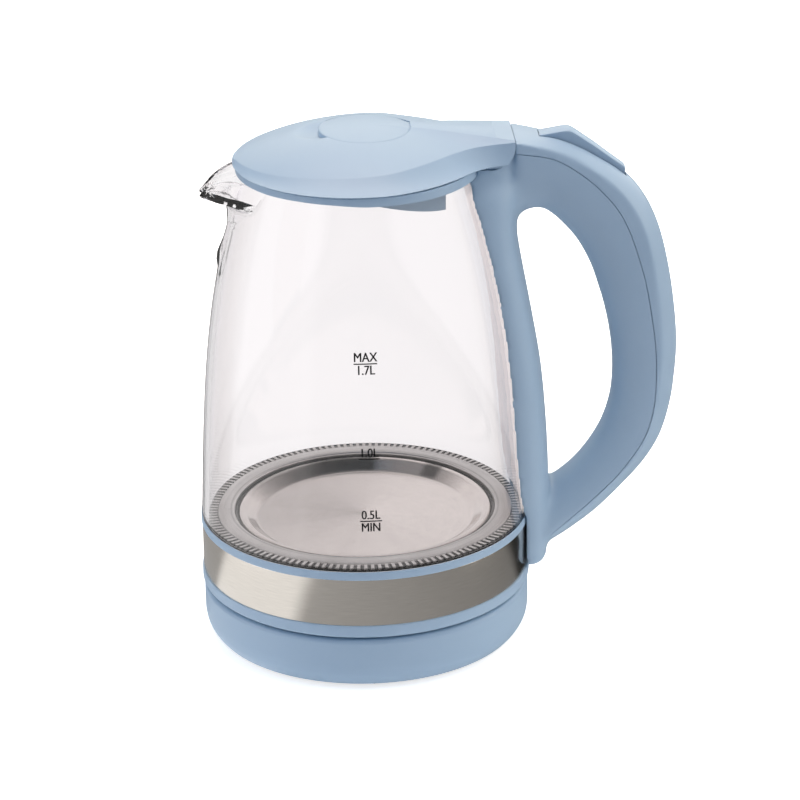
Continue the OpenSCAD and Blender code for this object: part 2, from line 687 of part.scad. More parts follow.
module handle_cover() {
    color(blue) difference() {
        union() {
            difference() {
                intersection() {
                    grip_solid();
                    parting_block();
                }
                grip_hollow();
            }
            for (p = cover_screw) translate([p[0] + wall + 1, 0, p[1]]) rotate([0, 90, 0])
                cylinder(r = cover_boss_r, h = cover_boss_end - p[0] - wall - 1, $fn = 48);
        }
        handle_seat();
        lever_slot();
        for (p = cover_screw) translate([p[0], 0, p[1]]) rotate([0, 90, 0])
            cylinder(r = 1.35, h = 16, $fn = 24);
    }
}

module lever_pin() {
    color(steel) translate([lever_x, lever_pin_half, lever_z]) rotate([90, 0, 0])
        cylinder(r = lever_pin_r, h = 2*lever_pin_half);
}

module switch_lever() {
    color(blue) difference() {
        union() {
            intersection() {
                lever_plan(0);
                rotate([90, 0, 0]) translate([0, 0, -lever_w/2]) linear_extrude(lever_w)
                    polygon(concat(lever_top, lever_low));
            }
            translate([lever_x, lever_w/2, lever_z]) rotate([90, 0, 0]) cylinder(r = lug_r, h = lever_w);
        }
        translate([lever_x, 20, lever_z]) rotate([90, 0, 0])
            cylinder(r = lever_pin_r + run_gap, h = 40);
    }
}

switch_pos = [body_x(87), 0, body_z(219)];
switch_size = [17, 15, 9];
plunger_r = 2;
module switch_body() {
    color([0.93, 0.93, 0.9]) difference() {
        translate([switch_pos[0], -switch_size[1]/2, switch_pos[2]]) cube(switch_size);
        translate([push_x, 0, switch_pos[2] + 2]) cylinder(r = plunger_r + 1.2, h = 20);
    }
}

module switch_plunger() {
    color([0.8, 0.3, 0.2]) translate([push_x, 0, switch_pos[2] + 5])
        cylinder(r = plunger_r, h = push_z - switch_pos[2] - 5, $fn = 32);
}

module steam_disc() {
    color(steel) translate([switch_pos[0], 0, switch_pos[2] + 4.5]) rotate([0, -90, 0])
        cylinder(r = 6, h = 0.5, $fn = 64);
}

module steam_tube() {
    color([0.93, 0.93, 0.9]) difference() {
        steam_bore(3);
        steam_bore(2.2);
    }
}

module cover_screws() {
    color(steel) for (p = cover_screw) translate([p[0] + 1, 0, p[1]]) rotate([0, -90, 0])
        screw(2.8, 1.3, 14);
}

module foot_screw() {
    color(steel) translate([seat_r - wall, 0, foot_screw_z]) rotate([0, -90, 0]) screw(3, 1.3, 12);
}

// ---- Lid ----

// Half outline of the lid's top edge and of its bottom edge, from the spout to the neck
lid_edge = [[-57, 0], [-55.6, 7], [-51, 18], [-43, 29], [-32, 37.4], [-19, 43], [-6, 46],
    [6, 46.4], [16, 43.8], [25, 38.4], [34, 31.6], [43, 24], [52, 18.6], [61, 16.6], [69, 16.1], [76, 16]];
lid_foot = [[-57.6, 0], [-56.2, 12], [-50.6, 27.4], [-41, 40.4], [-28.4, 50], [-14.6, 55.6], [-2, 57.4],
    [10, 56.6], [22, 52.4], [33, 45.6], [41.4, 38.4], [47.6, 31.6], [53, 25.6], [59, 21.4], [67, 18.4],
    [76, 17]];
lid_mid = [2, 0];
lid_drawn_half = 50;
lid_tilt = 0.055;
edge_z = lid_z + 6.4;
crown_z = lid_z + lid_rise;
function both(half) = concat(half, [for (i = [len(half) - 1:-1:1]) [half[i][0], -half[i][1]]]);
function edge_at(x) = edge_z + lid_tilt*x;
// Widens a point of the lid's outline with the rim; the neck keeps its width and moves out
function on_lid(p) = let(grow = band_r - drawn_r, neck = max(0, min(1, (p[0] - 30)/20)))
    [p[0] + grow*max(-1, min(1, p[0]/lid_drawn_half)), p[1]*(1 + grow*(1 - neck)/lid_drawn_half)];
lid_edge_line = [for (p = lid_edge) on_lid(p)];
lid_foot_line = [for (p = lid_foot) on_lid(p)];
function lid_ring(s, drop, inset) = [for (p = both(lid_edge_line))
    [lid_mid[0] + (p[0] - lid_mid[0])*s*(1 - inset/50), p[1]*s*(1 - inset/(16 + abs(p[1])*0.7)),
        crown_z - (crown_z - edge_at(p[0]))*pow(s, 2) - drop]];
function foot_ring(z, inset) = [for (p = both(lid_foot_line))
    [p[0]*(1 - inset/57), p[1]*(1 - inset/(17 + abs(p[1])*0.7)), z]];

module lid_solid() {
    loft([foot_ring(lid_z, 0), foot_ring(lid_z + 1.2, 0), lid_ring(1, 0, 0), lid_ring(0.93, 0, 0),
        lid_ring(0.8, 0, 0), lid_ring(0.62, 0, 0), lid_ring(0.44, 0, 0), lid_ring(0.24, 0, 0),
        lid_ring(0.08, 0, 0)]);
}

module lid_hollow() {
    loft([foot_ring(lid_z - 1, lid_wall), foot_ring(lid_z + 1, lid_wall),
        lid_ring(0.99, 2, lid_wall), lid_ring(0.86, 1.6, 0.6), lid_ring(0.66, 2.8, 0),
        lid_ring(0.5, 4.8, 0)]);
}

disc_x = 3.7;
disc_floor = disc_z - 3.6;
scoop_r = 29.4;
scoop_at = [-20, 0, disc_z + 25.6];
lid_post = [for (a = [180, 74.5, -74.5]) (glass_rim_r - 15.8)*[cos(a), sin(a)]];
module lid_cover() {
    slot_y = ear_y - move_gap;
    slot_w = ear_t + 2*move_gap;
    color(blue) difference() {
        union() {
            difference() {
                union() {
                    lid_solid();
                    intersection() {
                        neck_sweep(neck_r, neck_half);
                        translate([hinge_x - 5, -neck_half, hinge_z - 20]) cube([30, 2*neck_half, 20.4]);
                    }
                }
                difference() {
                    lid_hollow();
                    difference() {
                        translate([hinge_x - 3, -50, 0]) cube([100, 100, 400]);
                        neck_sweep(neck_r - lid_wall, neck_half - lid_wall);
                    }
                }
                difference() {
                    translate([hinge_x, -50, hinge_z - 40]) cube([60, 100, 80]);
                    neck_sweep(neck_r, 60);
                }
            }
            translate([hinge_x, ear_y - 0.4, hinge_z]) rotate([90, 0, 0])
                cylinder(r = ear_r + 0.1, h = 2*ear_y - 0.8);
            translate([hinge_x - ear_r - 1, -ear_y + 0.4, hinge_z]) cube([2*ear_r, 2*ear_y - 0.8, 2.8]);
            for (p = lid_post) translate([p[0], p[1], lid_z + 1.6])
                cylinder(r = 3.2, h = 8, $fn = 32);
        }
        translate([disc_x, 0, disc_floor]) cylinder(r = disc_r + 0.25, h = 40);
        translate(scoop_at) sphere(r = scoop_r, $fn = 64);
        translate([hinge_x, ear_y, hinge_z]) rotate([90, 0, 0])
            cylinder(r = hinge_pin_r + run_gap, h = 2*ear_y);
        for (y = [slot_y, -slot_y - slot_w]) translate([hinge_x, y + slot_w, hinge_z])
            rotate([90, 0, 0]) linear_extrude(slot_w) union() {
                circle(r = ear_r + move_gap, $fn = 48);
                polygon([[0, 0], [15, -0.6], [15, -15], [4, -18], [-12, -15], [-6, -4]]);
            }
        for (p = lid_post) translate([p[0], p[1], lid_z + 0.3]) mirror([0, 0, 1]) sink(2.5, 1.2, 9);
    }
}

module lid_disc() {
    color(blue) intersection() {
        translate([disc_x, 0, disc_floor]) cylinder(r = disc_r, h = 40);
        lid_solid();
    }
}

base_plate_r = glass_rim_r + 1.1;
base_plate_t = 1.6;
skirt_r = glass_rim_r - glass_t - 2.3;
skirt_t = 2.2;
skirt_open = 36;
module lid_base() {
    color(blue) difference() {
        union() {
            translate([0, 0, lid_z]) cylinder(r = base_plate_r - 1.2, h = base_plate_t);
            translate([0, 0, lid_z - 20]) difference() {
                cylinder(r = skirt_r, h = 20.4);
                translate([0, 0, -1]) cylinder(r = skirt_r - skirt_t, h = 22);
                translate([0, 0, -1]) linear_extrude(21) polygon([[0, 0],
                    [100*cos(skirt_open), 100*sin(skirt_open)], [100, 0],
                    [100*cos(skirt_open), -100*sin(skirt_open)]]);
            }
        }
        translate([0, 0, rim_z - 1.8]) rotate([0, 16.2, 0]) translate([-100, -100, -60])
            cube([200, 200, 60]);
        translate([hinge_x - 13, -50, lid_z - 1]) cube([60, 100, 10]);
        for (p = lid_post) translate([p[0], p[1], lid_z + 0.3]) mirror([0, 0, 1]) sink(2.5, 1.2, 8);
    }
}

module lid_seal() {
    color([0.85, 0.85, 0.85]) translate([0, 0, lid_z - 2]) difference() {
        cylinder(r = collar_in - move_gap, h = 2);
        translate([0, 0, -1]) cylinder(r = skirt_r, h = 4);
        translate([0, 0, -1]) linear_extrude(5) polygon([[0, 0], [-100, 73], [-100, -73]]);
        translate([hinge_x - 13, -50, -1]) cube([60, 100, 10]);
    }
}

module lid_screws() {
    color(steel) for (p = lid_post) translate([p[0], p[1], lid_z + 0.3]) mirror([0, 0, 1])
        screw(2.5, 1.2, 8);
}

base_cover();
base_bottom();
base_feet();
base_screws();
base_socket();
socket_contacts();
cord_gland();
kettle_connector();
connector_contacts();
bottom_housing();
underside_cover();
underside_screws();
steel_band();
glass_body();
plate_gasket();
heating_plate();
heat_spreader();
heating_element();
element_terminals();
dry_boil_control();
connector_carrier();
neck_collar();
hinge_bracket();
bracket_screws();
hinge_pin();
handle_body();
handle_cover();
cover_screws();
foot_screw();
switch_lever();
lever_pin();
switch_body();
switch_plunger();
steam_disc();
steam_tube();
lid_cover();
lid_disc();
lid_base();
lid_seal();
lid_screws();
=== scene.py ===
# %% [markdown]
# # A cordless glass kettle on its power base
# This lesson dresses a finished kettle model for a product picture. The mechanical model
# gives every piece its place, and each cell below makes one piece or one finish over it.
# All sizes are written in millimetres and turned into metres when a mesh is made.

# %% Load the frame
import bpy
import bmesh
import math
import numpy as np
from mathutils import Matrix


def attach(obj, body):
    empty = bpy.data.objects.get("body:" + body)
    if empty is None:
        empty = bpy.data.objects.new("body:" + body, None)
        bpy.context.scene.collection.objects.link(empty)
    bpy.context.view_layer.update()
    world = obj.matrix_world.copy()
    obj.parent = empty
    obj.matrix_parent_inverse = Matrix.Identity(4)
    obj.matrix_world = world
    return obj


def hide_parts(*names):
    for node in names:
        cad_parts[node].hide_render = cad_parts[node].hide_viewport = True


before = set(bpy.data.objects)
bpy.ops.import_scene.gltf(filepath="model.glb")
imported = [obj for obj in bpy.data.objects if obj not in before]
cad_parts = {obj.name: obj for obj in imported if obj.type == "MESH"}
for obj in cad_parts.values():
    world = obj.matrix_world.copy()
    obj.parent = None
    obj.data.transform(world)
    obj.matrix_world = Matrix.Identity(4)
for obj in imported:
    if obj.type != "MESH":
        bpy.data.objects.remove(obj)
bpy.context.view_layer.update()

# %% [markdown]
# ## Camera
# A long lens a little above the rim shows the lid's top and the plate behind the glass.
# It is written as an elevation, a turn and a roll about a point near the kettle's middle,
# so that each number means something.

# %% Camera
MM = 0.001
FOCAL_PX, FRAME_PX, SENSOR_MM = 3697.14, 800, 36
ELEVATION, TURN, ROLL = math.radians(22.0656), math.radians(-3), math.radians(-1.0141)
AIM_RIGHT, AIM_Z, DISTANCE = 17.68, 115.56, 1743.03
back = np.array([math.sin(TURN)*math.cos(ELEVATION), -math.cos(TURN)*math.cos(ELEVATION),
    math.sin(ELEVATION)])
right = np.array([math.cos(TURN), math.sin(TURN), 0])
up = np.cross(back, right)
axis_x = math.cos(ROLL)*right + math.sin(ROLL)*up
axis_y = -math.sin(ROLL)*right + math.cos(ROLL)*up
place = (right*AIM_RIGHT + np.array([0, 0, AIM_Z]) + back*DISTANCE)*MM
lens = bpy.data.cameras.new("studio_camera")
lens.sensor_width = SENSOR_MM
lens.lens = FOCAL_PX*SENSOR_MM/FRAME_PX
lens.clip_end = 50
camera = bpy.data.objects.new("studio_camera", lens)
bpy.context.scene.collection.objects.link(camera)
turn = np.eye(4)
turn[:3, 0], turn[:3, 1], turn[:3, 2], turn[:3, 3] = axis_x, axis_y, back, place
camera.matrix_world = Matrix(turn.tolist())
bpy.context.scene.camera = camera
print("camera at", [round(float(v), 3) for v in place], "lens", round(lens.lens, 1), "mm")

# %% [markdown]
# ## Helpers for meshes
# Most moulded pieces are lofts: rings of points skinned one to the next. The helpers keep
# every mesh closed, merged and facing outwards, and mark only true corners as sharp, so
# that rounded plastic shades smoothly.

# %% Curves through points
def smooth_list(rows, per):
    """Catmull-Rom curve through rows of numbers, with per steps between two rows."""
    rows = np.array(rows, float)
    out = []
    for i in range(len(rows) - 1):
        a, b, c, d = (rows[min(max(j, 0), len(rows) - 1)] for j in (i - 1, i, i + 1, i + 2))
        for k in range(per):
            t = k/per
            out.append(0.5*(2*b + (c - a)*t + (2*a - 5*b + 4*c - d)*t*t + (3*b - a - 3*c + d)*t**3))
    return np.array(out + [rows[-1]])


def smoothstep(low, high, x):
    t = np.clip((np.asarray(x, float) - low)/(high - low), 0, 1)
    return t*t*(3 - 2*t)


# %% Meshes from rings
def mesh_object(name, points, faces):
    """A mesh object from millimetre points, merged and facing outwards."""
    mesh = bpy.data.meshes.new(name)
    mesh.from_pydata([tuple(map(float, p)) for p in np.asarray(points)*MM], [], faces)
    body = bmesh.new()
    body.from_mesh(mesh)
    bmesh.ops.remove_doubles(body, verts=body.verts, dist=0.00001)
    bmesh.ops.recalc_face_normals(body, faces=body.faces)
    body.to_mesh(mesh)
    body.free()
    obj = bpy.data.objects.new(name, mesh)
    bpy.context.scene.collection.objects.link(obj)
    return obj


def loft(name, rings, loop=False):
    """Skins rings with the same number of points; loop joins the last ring to the first."""
    n, m = len(rings[0]), len(rings)
    faces = []
    for j in range(m if loop else m - 1):
        a, b = j*n, (j + 1)%m*n
        faces += [(a + i, a + (i + 1)%n, b + (i + 1)%n, b + i) for i in range(n)]
    points = [p for ring in rings for p in ring]
    if not loop:
        for base, ring in ((0, rings[0]), ((m - 1)*n, rings[-1])):
            points.append(np.mean(np.array(ring), axis=0))
            hub = len(points) - 1
            faces += [(base + i, base + (i + 1)%n, hub) for i in range(n)]
    return mesh_object(name, points, faces)


def revolve(name, profile, steps=256):
    """Turns a closed outline of radius and height pairs round the kettle's axis."""
    rings = []
    for i in range(steps):
        a = 2*math.pi*i/steps
        rings.append([(r*math.cos(a), r*math.sin(a), z) for r, z in profile])
    return loft(name, rings, loop=True)


def rounded(outline, radius, steps=4):
    """Rounds the corners of a closed outline, so that edges catch a thin light."""
    out = []
    n = len(outline)
    pts = [np.array(p, float) for p in outline]
    for i, p in enumerate(pts):
        before, after = pts[i - 1] - p, pts[(i + 1)%n] - p
        cut = min(radius, 0.45*np.linalg.norm(before), 0.45*np.linalg.norm(after))
        a, b = p + before/np.linalg.norm(before)*cut, p + after/np.linalg.norm(after)*cut
        for k in range(steps + 1):
            t = k/steps
            out.append((1 - t)**2*a + 2*t*(1 - t)*p + t*t*b)
    return out


# %% Cutting and finishing
def apply_modifiers(obj):
    """Turns the evaluated object into a plain mesh and clears its modifiers."""
    bpy.context.view_layer.update()
    done = bpy.data.meshes.new_from_object(obj.evaluated_get(bpy.context.evaluated_depsgraph_get()))
    old = obj.data
    obj.modifiers.clear()
    obj.data = done
    bpy.data.meshes.remove(old)
    return obj


def boolean(obj, other, operation="DIFFERENCE"):
    """Cuts, joins or crosses obj with other, which is used up."""
    mod = obj.modifiers.new("cut", "BOOLEAN")
    mod.operation, mod.object, mod.solver = operation, other, "EXACT"
    apply_modifiers(obj)
    bpy.data.objects.remove(other)
    return obj


def shade(obj, angle=32):
    """Smooth shading with sharp edges where two faces meet at more than the angle."""
    body = bmesh.new()
    body.from_mesh(obj.data)
    bmesh.ops.remove_doubles(body, verts=body.verts, dist=0.000005)
    for face in body.faces:
        face.smooth = True
    for edge in body.edges:
        edge.smooth = len(edge.link_faces) != 2 or edge.calc_face_angle(0) < math.radians(angle)
    body.to_mesh(obj.data)
    body.free()
    return obj


def seat(obj, material, body, slot, *nodes):
    """Gives a piece its finish, its body and the node it stands for."""
    obj.data.materials.clear()
    obj.data.materials.append(material)
    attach(obj, body)
    if nodes:
        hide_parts(*nodes)
    print(obj.name, "faces", len(obj.data.polygons))
    return obj


def prism(name, outline, low, high, axis="y"):
    """Pushes an outline of two numbers a point through from low to high along an axis."""
    order = {"y": lambda a, b, t: (a, t, b), "z": lambda a, b, t: (a, b, t)}[axis]
    return loft(name, [[order(a, b, t) for a, b in outline] for t in (low, high)])


def disc_outline(cx, cy, r, steps=96):
    return [(cx + r*math.cos(2*math.pi*i/steps), cy + r*math.sin(2*math.pi*i/steps))
        for i in range(steps)]


# %% [markdown]
# ## Finishes
# Every finish is a node material on Object coordinates, which are metres from the kettle's
# axis, so a grain keeps its true size. A small helper adds nodes and links, which keeps
# each material readable.

# %% Node helper
def finish(name, **sockets):
    """A new Principled material and its node tree; plain numbers are set on its sockets."""
    mat = bpy.data.materials.new(name)
    mat.use_nodes = True
    tree = mat.node_tree
    shader = tree.nodes["Principled BSDF"]
    for key, value in sockets.items():
        shader.inputs[key.replace("_", " ").title().replace("Ior", "IOR")].default_value = value
    return mat, tree, shader


def node(tree, kind, inputs=None, **settings):
    made = tree.nodes.new(kind)
    for key, value in settings.items():
        setattr(made, key, value)
    for key, value in (inputs or {}).items():
        if isinstance(value, bpy.types.NodeSocket):
            tree.links.new(value, made.inputs[key])
        else:
            made.inputs[key].default_value = value
    return made


def rgb(r, g, b):
    """A screen colour from 0 to 255 as the linear colour a shader reads."""
    lin = [c/255/12.92 if c/255 <= 0.04045 else ((c/255 + 0.055)/1.055)**2.4 for c in (r, g, b)]
    return (*lin, 1)


def grain(tree, scale, detail=2):
    """Noise on Object coordinates; scale is in features per metre."""
    place_on_piece = node(tree, "ShaderNodeTexCoord").outputs["Object"]
    return node(tree, "ShaderNodeTexNoise",
        {"Vector": place_on_piece, "Scale": scale, "Detail": detail})


def between(tree, value, low, high):
    """Spreads a 0..1 value between two numbers."""
    return node(tree, "ShaderNodeMapRange",
        {"Value": value, "To Min": low, "To Max": high}).outputs[0]


def two_colours(tree, value, dark, light):
    mix = node(tree, "ShaderNodeMix", {0: value, 6: dark, 7: light}, data_type="RGBA")
    return mix.outputs[2]


def bump(tree, height, distance):
    return node(tree, "ShaderNodeBump", {"Height": height, "Distance": distance}).outputs[0]


# %% Moulded plastics
def moulded(name, dark, light, rough, texture=0.00002):
    """Satin moulded plastic: faint cloudy colour, a fine spark texture, uneven gloss."""
    mat, tree, shader = finish(name, ior=1.48)
    clouds = grain(tree, 18, 3)
    fine = grain(tree, 2600, 2)
    tree.links.new(two_colours(tree, clouds.outputs[0], dark, light), shader.inputs["Base Color"])
    tree.links.new(between(tree, grain(tree, 90, 4).outputs[0], rough - 0.05, rough + 0.05),
        shader.inputs["Roughness"])
    tree.links.new(bump(tree, fine.outputs[0], texture), shader.inputs["Normal"])
    return mat


blue = moulded("blue_plastic", rgb(156, 181, 203), rgb(161, 185, 206), 0.45)
dark = moulded("dark_plastic", rgb(48, 49, 52), rgb(56, 57, 60), 0.5)
pale = moulded("pale_plastic", rgb(226, 225, 218), rgb(233, 232, 226), 0.45)
red = moulded("red_plastic", rgb(176, 60, 42), rgb(186, 68, 48), 0.4)
rubber = moulded("foot_rubber", rgb(52, 52, 54), rgb(62, 62, 64), 0.8, 0.00004)
print("moulded finishes made")


# %% Metals
def tones(tree, value, stops):
    """A grey ramp through (place, tone) pairs; places run from 0 to 1."""
    ramp = node(tree, "ShaderNodeValToRGB", {0: value})
    marks = ramp.color_ramp.elements
    for mark, (place, tone) in zip((marks[0], marks[1]), (stops[0], stops[-1])):
        mark.position, mark.color = place, (tone, tone, tone, 1)
    for place, tone in stops[1:-1]:
        marks.new(place).color = (tone, tone, tone, 1)
    return ramp.outputs[0]


def by_angle(stops):
    """Turns (degrees, tone) pairs from -180 to 180 into (place, tone) pairs."""
    return [((degrees + 180)/360, tone) for degrees, tone in stops]


def brushed(name, dark_tone, light_tone, rough, lines, fans=0.0, rings=None, floor_fans=None,
        wall_fans=None, **sockets):
    """Brushed metal: fine scratches run round the axis, and faint fans of painted highlight cross
    them.
    Rings paint tones by distance from the axis in mm, floor and wall fans by the angle in
    degrees. They are painted shade, painted highlights and painted reflections, which don't answer
    to the light."""
    mat, tree, shader = finish(name, metallic=1.0, anisotropic_rotation=0.25, **sockets)
    coords = node(tree, "ShaderNodeTexCoord")
    xyz = node(tree, "ShaderNodeSeparateXYZ", {0: coords.outputs["Object"]})
    flat = node(tree, "ShaderNodeCombineXYZ", {0: xyz.outputs[0], 1: xyz.outputs[1]})
    reach = node(tree, "ShaderNodeVectorMath", {0: flat.outputs[0]}, operation="LENGTH")
    angle = node(tree, "ShaderNodeMath", {0: xyz.outputs[1], 1: xyz.outputs[0]},
        operation="ARCTAN2")
    spin = node(tree, "ShaderNodeMath", {0: angle.outputs[0], 1: 0.0035}, operation="MULTIPLY")
    spot = node(tree, "ShaderNodeCombineXYZ",
        {0: reach.outputs[1], 1: spin.outputs[0], 2: xyz.outputs[2]})
    streaks = node(tree, "ShaderNodeTexNoise",
        {"Vector": spot.outputs[0], "Scale": lines, "Detail": 3})
    broad = node(tree, "ShaderNodeTexNoise",
        {"Vector": spot.outputs[0], "Scale": lines/9, "Detail": 2})
    tone = streaks.outputs[0]
    # painted highlight: broad noise sectors stand in for the fan-shaped highlights of turned metal
    if fans:
        ray = node(tree, "ShaderNodeVectorMath", {0: flat.outputs[0]}, operation="NORMALIZE")
        painted_fan_highlight = node(tree, "ShaderNodeTexNoise",
            {"Vector": ray.outputs[0], "Scale": 2.2, "Detail": 4, "Roughness": 0.6})
        tone = node(tree, "ShaderNodeMix", {0: fans, 2: tone, 3: painted_fan_highlight.outputs[0]},
            data_type="FLOAT").outputs[0]
    colour = two_colours(tree, tone, dark_tone, light_tone)
    out = node(tree, "ShaderNodeMath", {0: reach.outputs[1], 1: 0.1}, operation="DIVIDE").outputs[0]
    turn = node(tree, "ShaderNodeMapRange",
        {"Value": angle.outputs[0], "From Min": -math.pi, "From Max": math.pi}).outputs[0]
    # rings and fans multiply painted shade, painted highlights and painted reflections into the
    # colour
    shades = []
    if rings:
        shades.append(tones(tree, out, [(r/100, t) for r, t in rings]))
    if floor_fans:
        on_wall = tones(tree, out, [(0.505, 0), (0.525, 1)])
        floor_part, wall_part = (tones(tree, turn, by_angle(f)) for f in (floor_fans, wall_fans))
        shades.append(node(tree, "ShaderNodeMix", {0: on_wall, 6: floor_part, 7: wall_part},
            data_type="RGBA").outputs[2])
    for shade_part in shades:
        colour = node(tree, "ShaderNodeMix", {0: 1.0, 6: colour, 7: shade_part}, data_type="RGBA",
            blend_type="MULTIPLY").outputs[2]
    tree.links.new(colour, shader.inputs["Base Color"])
    tree.links.new(between(tree, broad.outputs[0], rough - 0.05, rough + 0.05),
        shader.inputs["Roughness"])
    tree.links.new(bump(tree, streaks.outputs[0], 0.000012), shader.inputs["Normal"])
    tree.links.new(node(tree, "ShaderNodeTangent", direction_type="RADIAL", axis="Z").outputs[0],
        shader.inputs["Tangent"])
    return mat


band = brushed("band_steel", rgb(214, 208, 200), rgb(232, 226, 218), 0.2, 2400, anisotropic=0.5)
# painted shade: the rings darken the plate's ledge past its rim; the floor and wall fans are
# painted highlights, painted reflections and painted shade by angle
plate = brushed("plate_steel", rgb(196, 188, 184), rgb(232, 224, 220), 0.16, 1500, fans=0.5,
    anisotropic=0.5,
    rings=[(57, 1.0), (58.5, 1.0), (59.6, 0.95), (60.2, 0.12), (70, 0.12)],
    floor_fans=[(-180, 0.66), (-140, 0.78), (-100, 0.88), (0, 1.0), (55, 0.98), (90, 0.86),
        (120, 0.74), (150, 0.66), (180, 0.66)],
    wall_fans=[(-180, 0.8), (-120, 0.8), (-90, 0.75), (-30, 0.9), (25, 1.0), (44, 0.95),
        (48, 0.3), (54, 0.3), (57, 0.95), (79, 0.9), (84, 0.12), (108, 0.12), (120, 0.42),
        (150, 0.5), (165, 0.85), (180, 0.8)])
screw_steel = brushed("screw_steel", rgb(176, 176, 178), rgb(198, 198, 200), 0.3, 1800)
brass = brushed("contact_brass", rgb(202, 168, 96), rgb(220, 188, 118), 0.28, 1200)
cast = brushed("cast_aluminium", rgb(150, 150, 152), rgb(176, 176, 178), 0.5, 500)
# the fans are painted highlight on the teeth
ring_metal = brushed("ring_metal", rgb(150, 146, 144), rgb(226, 222, 220), 0.36, 700, fans=0.45)
# painted shade: a thin dark line at 63.6 mm and a dark trench between and outside the teeth, with
# fans of painted highlight
ring_shade = brushed("ring_metal_painted_shade", rgb(150, 146, 144), rgb(226, 222, 220), 0.36, 700,
    fans=0.45,
    rings=[(61.5, 1.0), (63, 1.0), (63.6, 0.6), (64.2, 1.0), (69.7, 1.0), (70.1, 0.4),
        (72.6, 0.34), (73.4, 0.1), (80, 0.1)])
print("metal finishes made")

# %% Silicone and glass
silicone = moulded("grey_silicone", rgb(176, 175, 172), rgb(198, 197, 194), 0.4, 0.00003)
lining = moulded("pale_lining", rgb(232, 224, 224), rgb(240, 233, 232), 0.5)

clear, glass_tree, glass_shader = finish("clear_glass", ior=1.45, transmission_weight=1.0,
    roughness=0.0)
ripple = grain(glass_tree, 14, 1)
tint = two_colours(glass_tree, ripple.outputs[0], (0.985, 0.968, 0.975, 1),
    (0.995, 0.980, 0.986, 1))
# painted shade: the glass's colour darkens, with a pale band, where the wall is seen edge-on
edge_on = node(glass_tree, "ShaderNodeLayerWeight", {"Blend": 0.5})
painted_edge_shade = node(glass_tree, "ShaderNodeValToRGB", {0: edge_on.outputs["Facing"]})
stops = painted_edge_shade.color_ramp.elements
stops[0].position, stops[0].color = 0.44, (1, 1, 1, 1)
stops[1].position, stops[1].color = 0.97, (0.80, 0.79, 0.84, 1)
for at, tone in ((0.56, (0.90, 0.885, 0.88, 1)), (0.74, (0.87, 0.855, 0.86, 1)),
    (0.82, (0.95, 0.93, 0.96, 1))):
    stops.new(at).color = tone
shaded = node(glass_tree, "ShaderNodeMix", {0: 1.0, 6: tint, 7: painted_edge_shade.outputs[0]},
    data_type="RGBA", blend_type="MULTIPLY")
glass_tree.links.new(shaded.outputs[2], glass_shader.inputs["Base Color"])
glass_tree.links.new(bump(glass_tree, ripple.outputs[0], 0.0001), glass_shader.inputs["Normal"])
ink, ink_tree, ink_shader = finish("mark_ink", ior=1.45, roughness=0.5)
ink_tree.links.new(two_colours(ink_tree, grain(ink_tree, 900).outputs[0], rgb(22, 21, 22),
    rgb(40, 39, 40)),
    ink_shader.inputs["Base Color"])
# little light reaches this face through the glass, so it is given a glow of its own
glow_shader = lining.node_tree.nodes["Principled BSDF"]
glow_shader.inputs["Emission Color"].default_value = (1.0, 0.96, 0.94, 1)
glow_shader.inputs["Emission Strength"].default_value = 0.55
print("glass, silicone and ink made")

# %% Finishes for the nodes that keep their shape
KEPT = {
    "base_bottom": dark, "base_feet": rubber, "base_screws": screw_steel, "base_socket": dark,
    "socket_contacts": brass, "cord_gland": dark, "kettle_connector": dark,
    "connector_contacts": brass,
    "underside_cover": dark, "underside_screws": screw_steel, "heat_spreader": cast,
    "heating_element": cast, "element_terminals": brass, "dry_boil_control": pale,
    "connector_carrier": pale, "hinge_bracket": screw_steel, "bracket_screws": screw_steel,
    "hinge_pin": screw_steel, "cover_screws": screw_steel, "foot_screw": screw_steel,
    "lever_pin": screw_steel, "switch_body": pale, "switch_plunger": red, "steam_disc": screw_steel,
    "steam_tube": pale, "lid_seal": silicone, "lid_screws": screw_steel,
}
for name, mat in KEPT.items():
    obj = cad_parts[name]
    obj.data.materials.clear()
    obj.data.materials.append(mat)
print(len(KEPT), "nodes keep their shape")

# %% [markdown]
# ## The round body
# These heights and radii are the kettle's own. The wall of the glass narrows from the
# steel band to the rim along one smooth curve, so a function gives its radius at any height.

# %% Sizes of the round body
BAND_R, BAND_T = 77.5, 0.6
DECK_Z, RING_Z, BAND_Z, TRIM_Z, GLASS_Z, RIM_Z, SHELF_Z = 27.6, 28.6, 35.0, 58.0, 62.2, 231.7, 59.8
GLASS_H, GLASS_T = RIM_Z - GLASS_Z, 3.0
LID_Z, EDGE_Z, CROWN_Z, TILT = 235.5, 241.9, 252.0, 0.055
HINGE_X, HINGE_Z, NECK_R, NECK_HALF = 60.8, 244.3, 10.9, 16


def glass_r(z):
    t = (np.minimum(z, RIM_Z) - GLASS_Z)/GLASS_H
    return BAND_R - 25.2*(0.33*t - 0.2*t**2 + 0.87*t**3)


print("rim radius", round(float(glass_r(RIM_Z)), 1))

# %% [markdown]
# ## Power base
# The base is a turned shell with a soft shoulder. Its outline follows a rule, so a small
# Geometry Nodes tree sweeps the outline round a circle; a hole for the cord's inlet is cut
# afterwards.

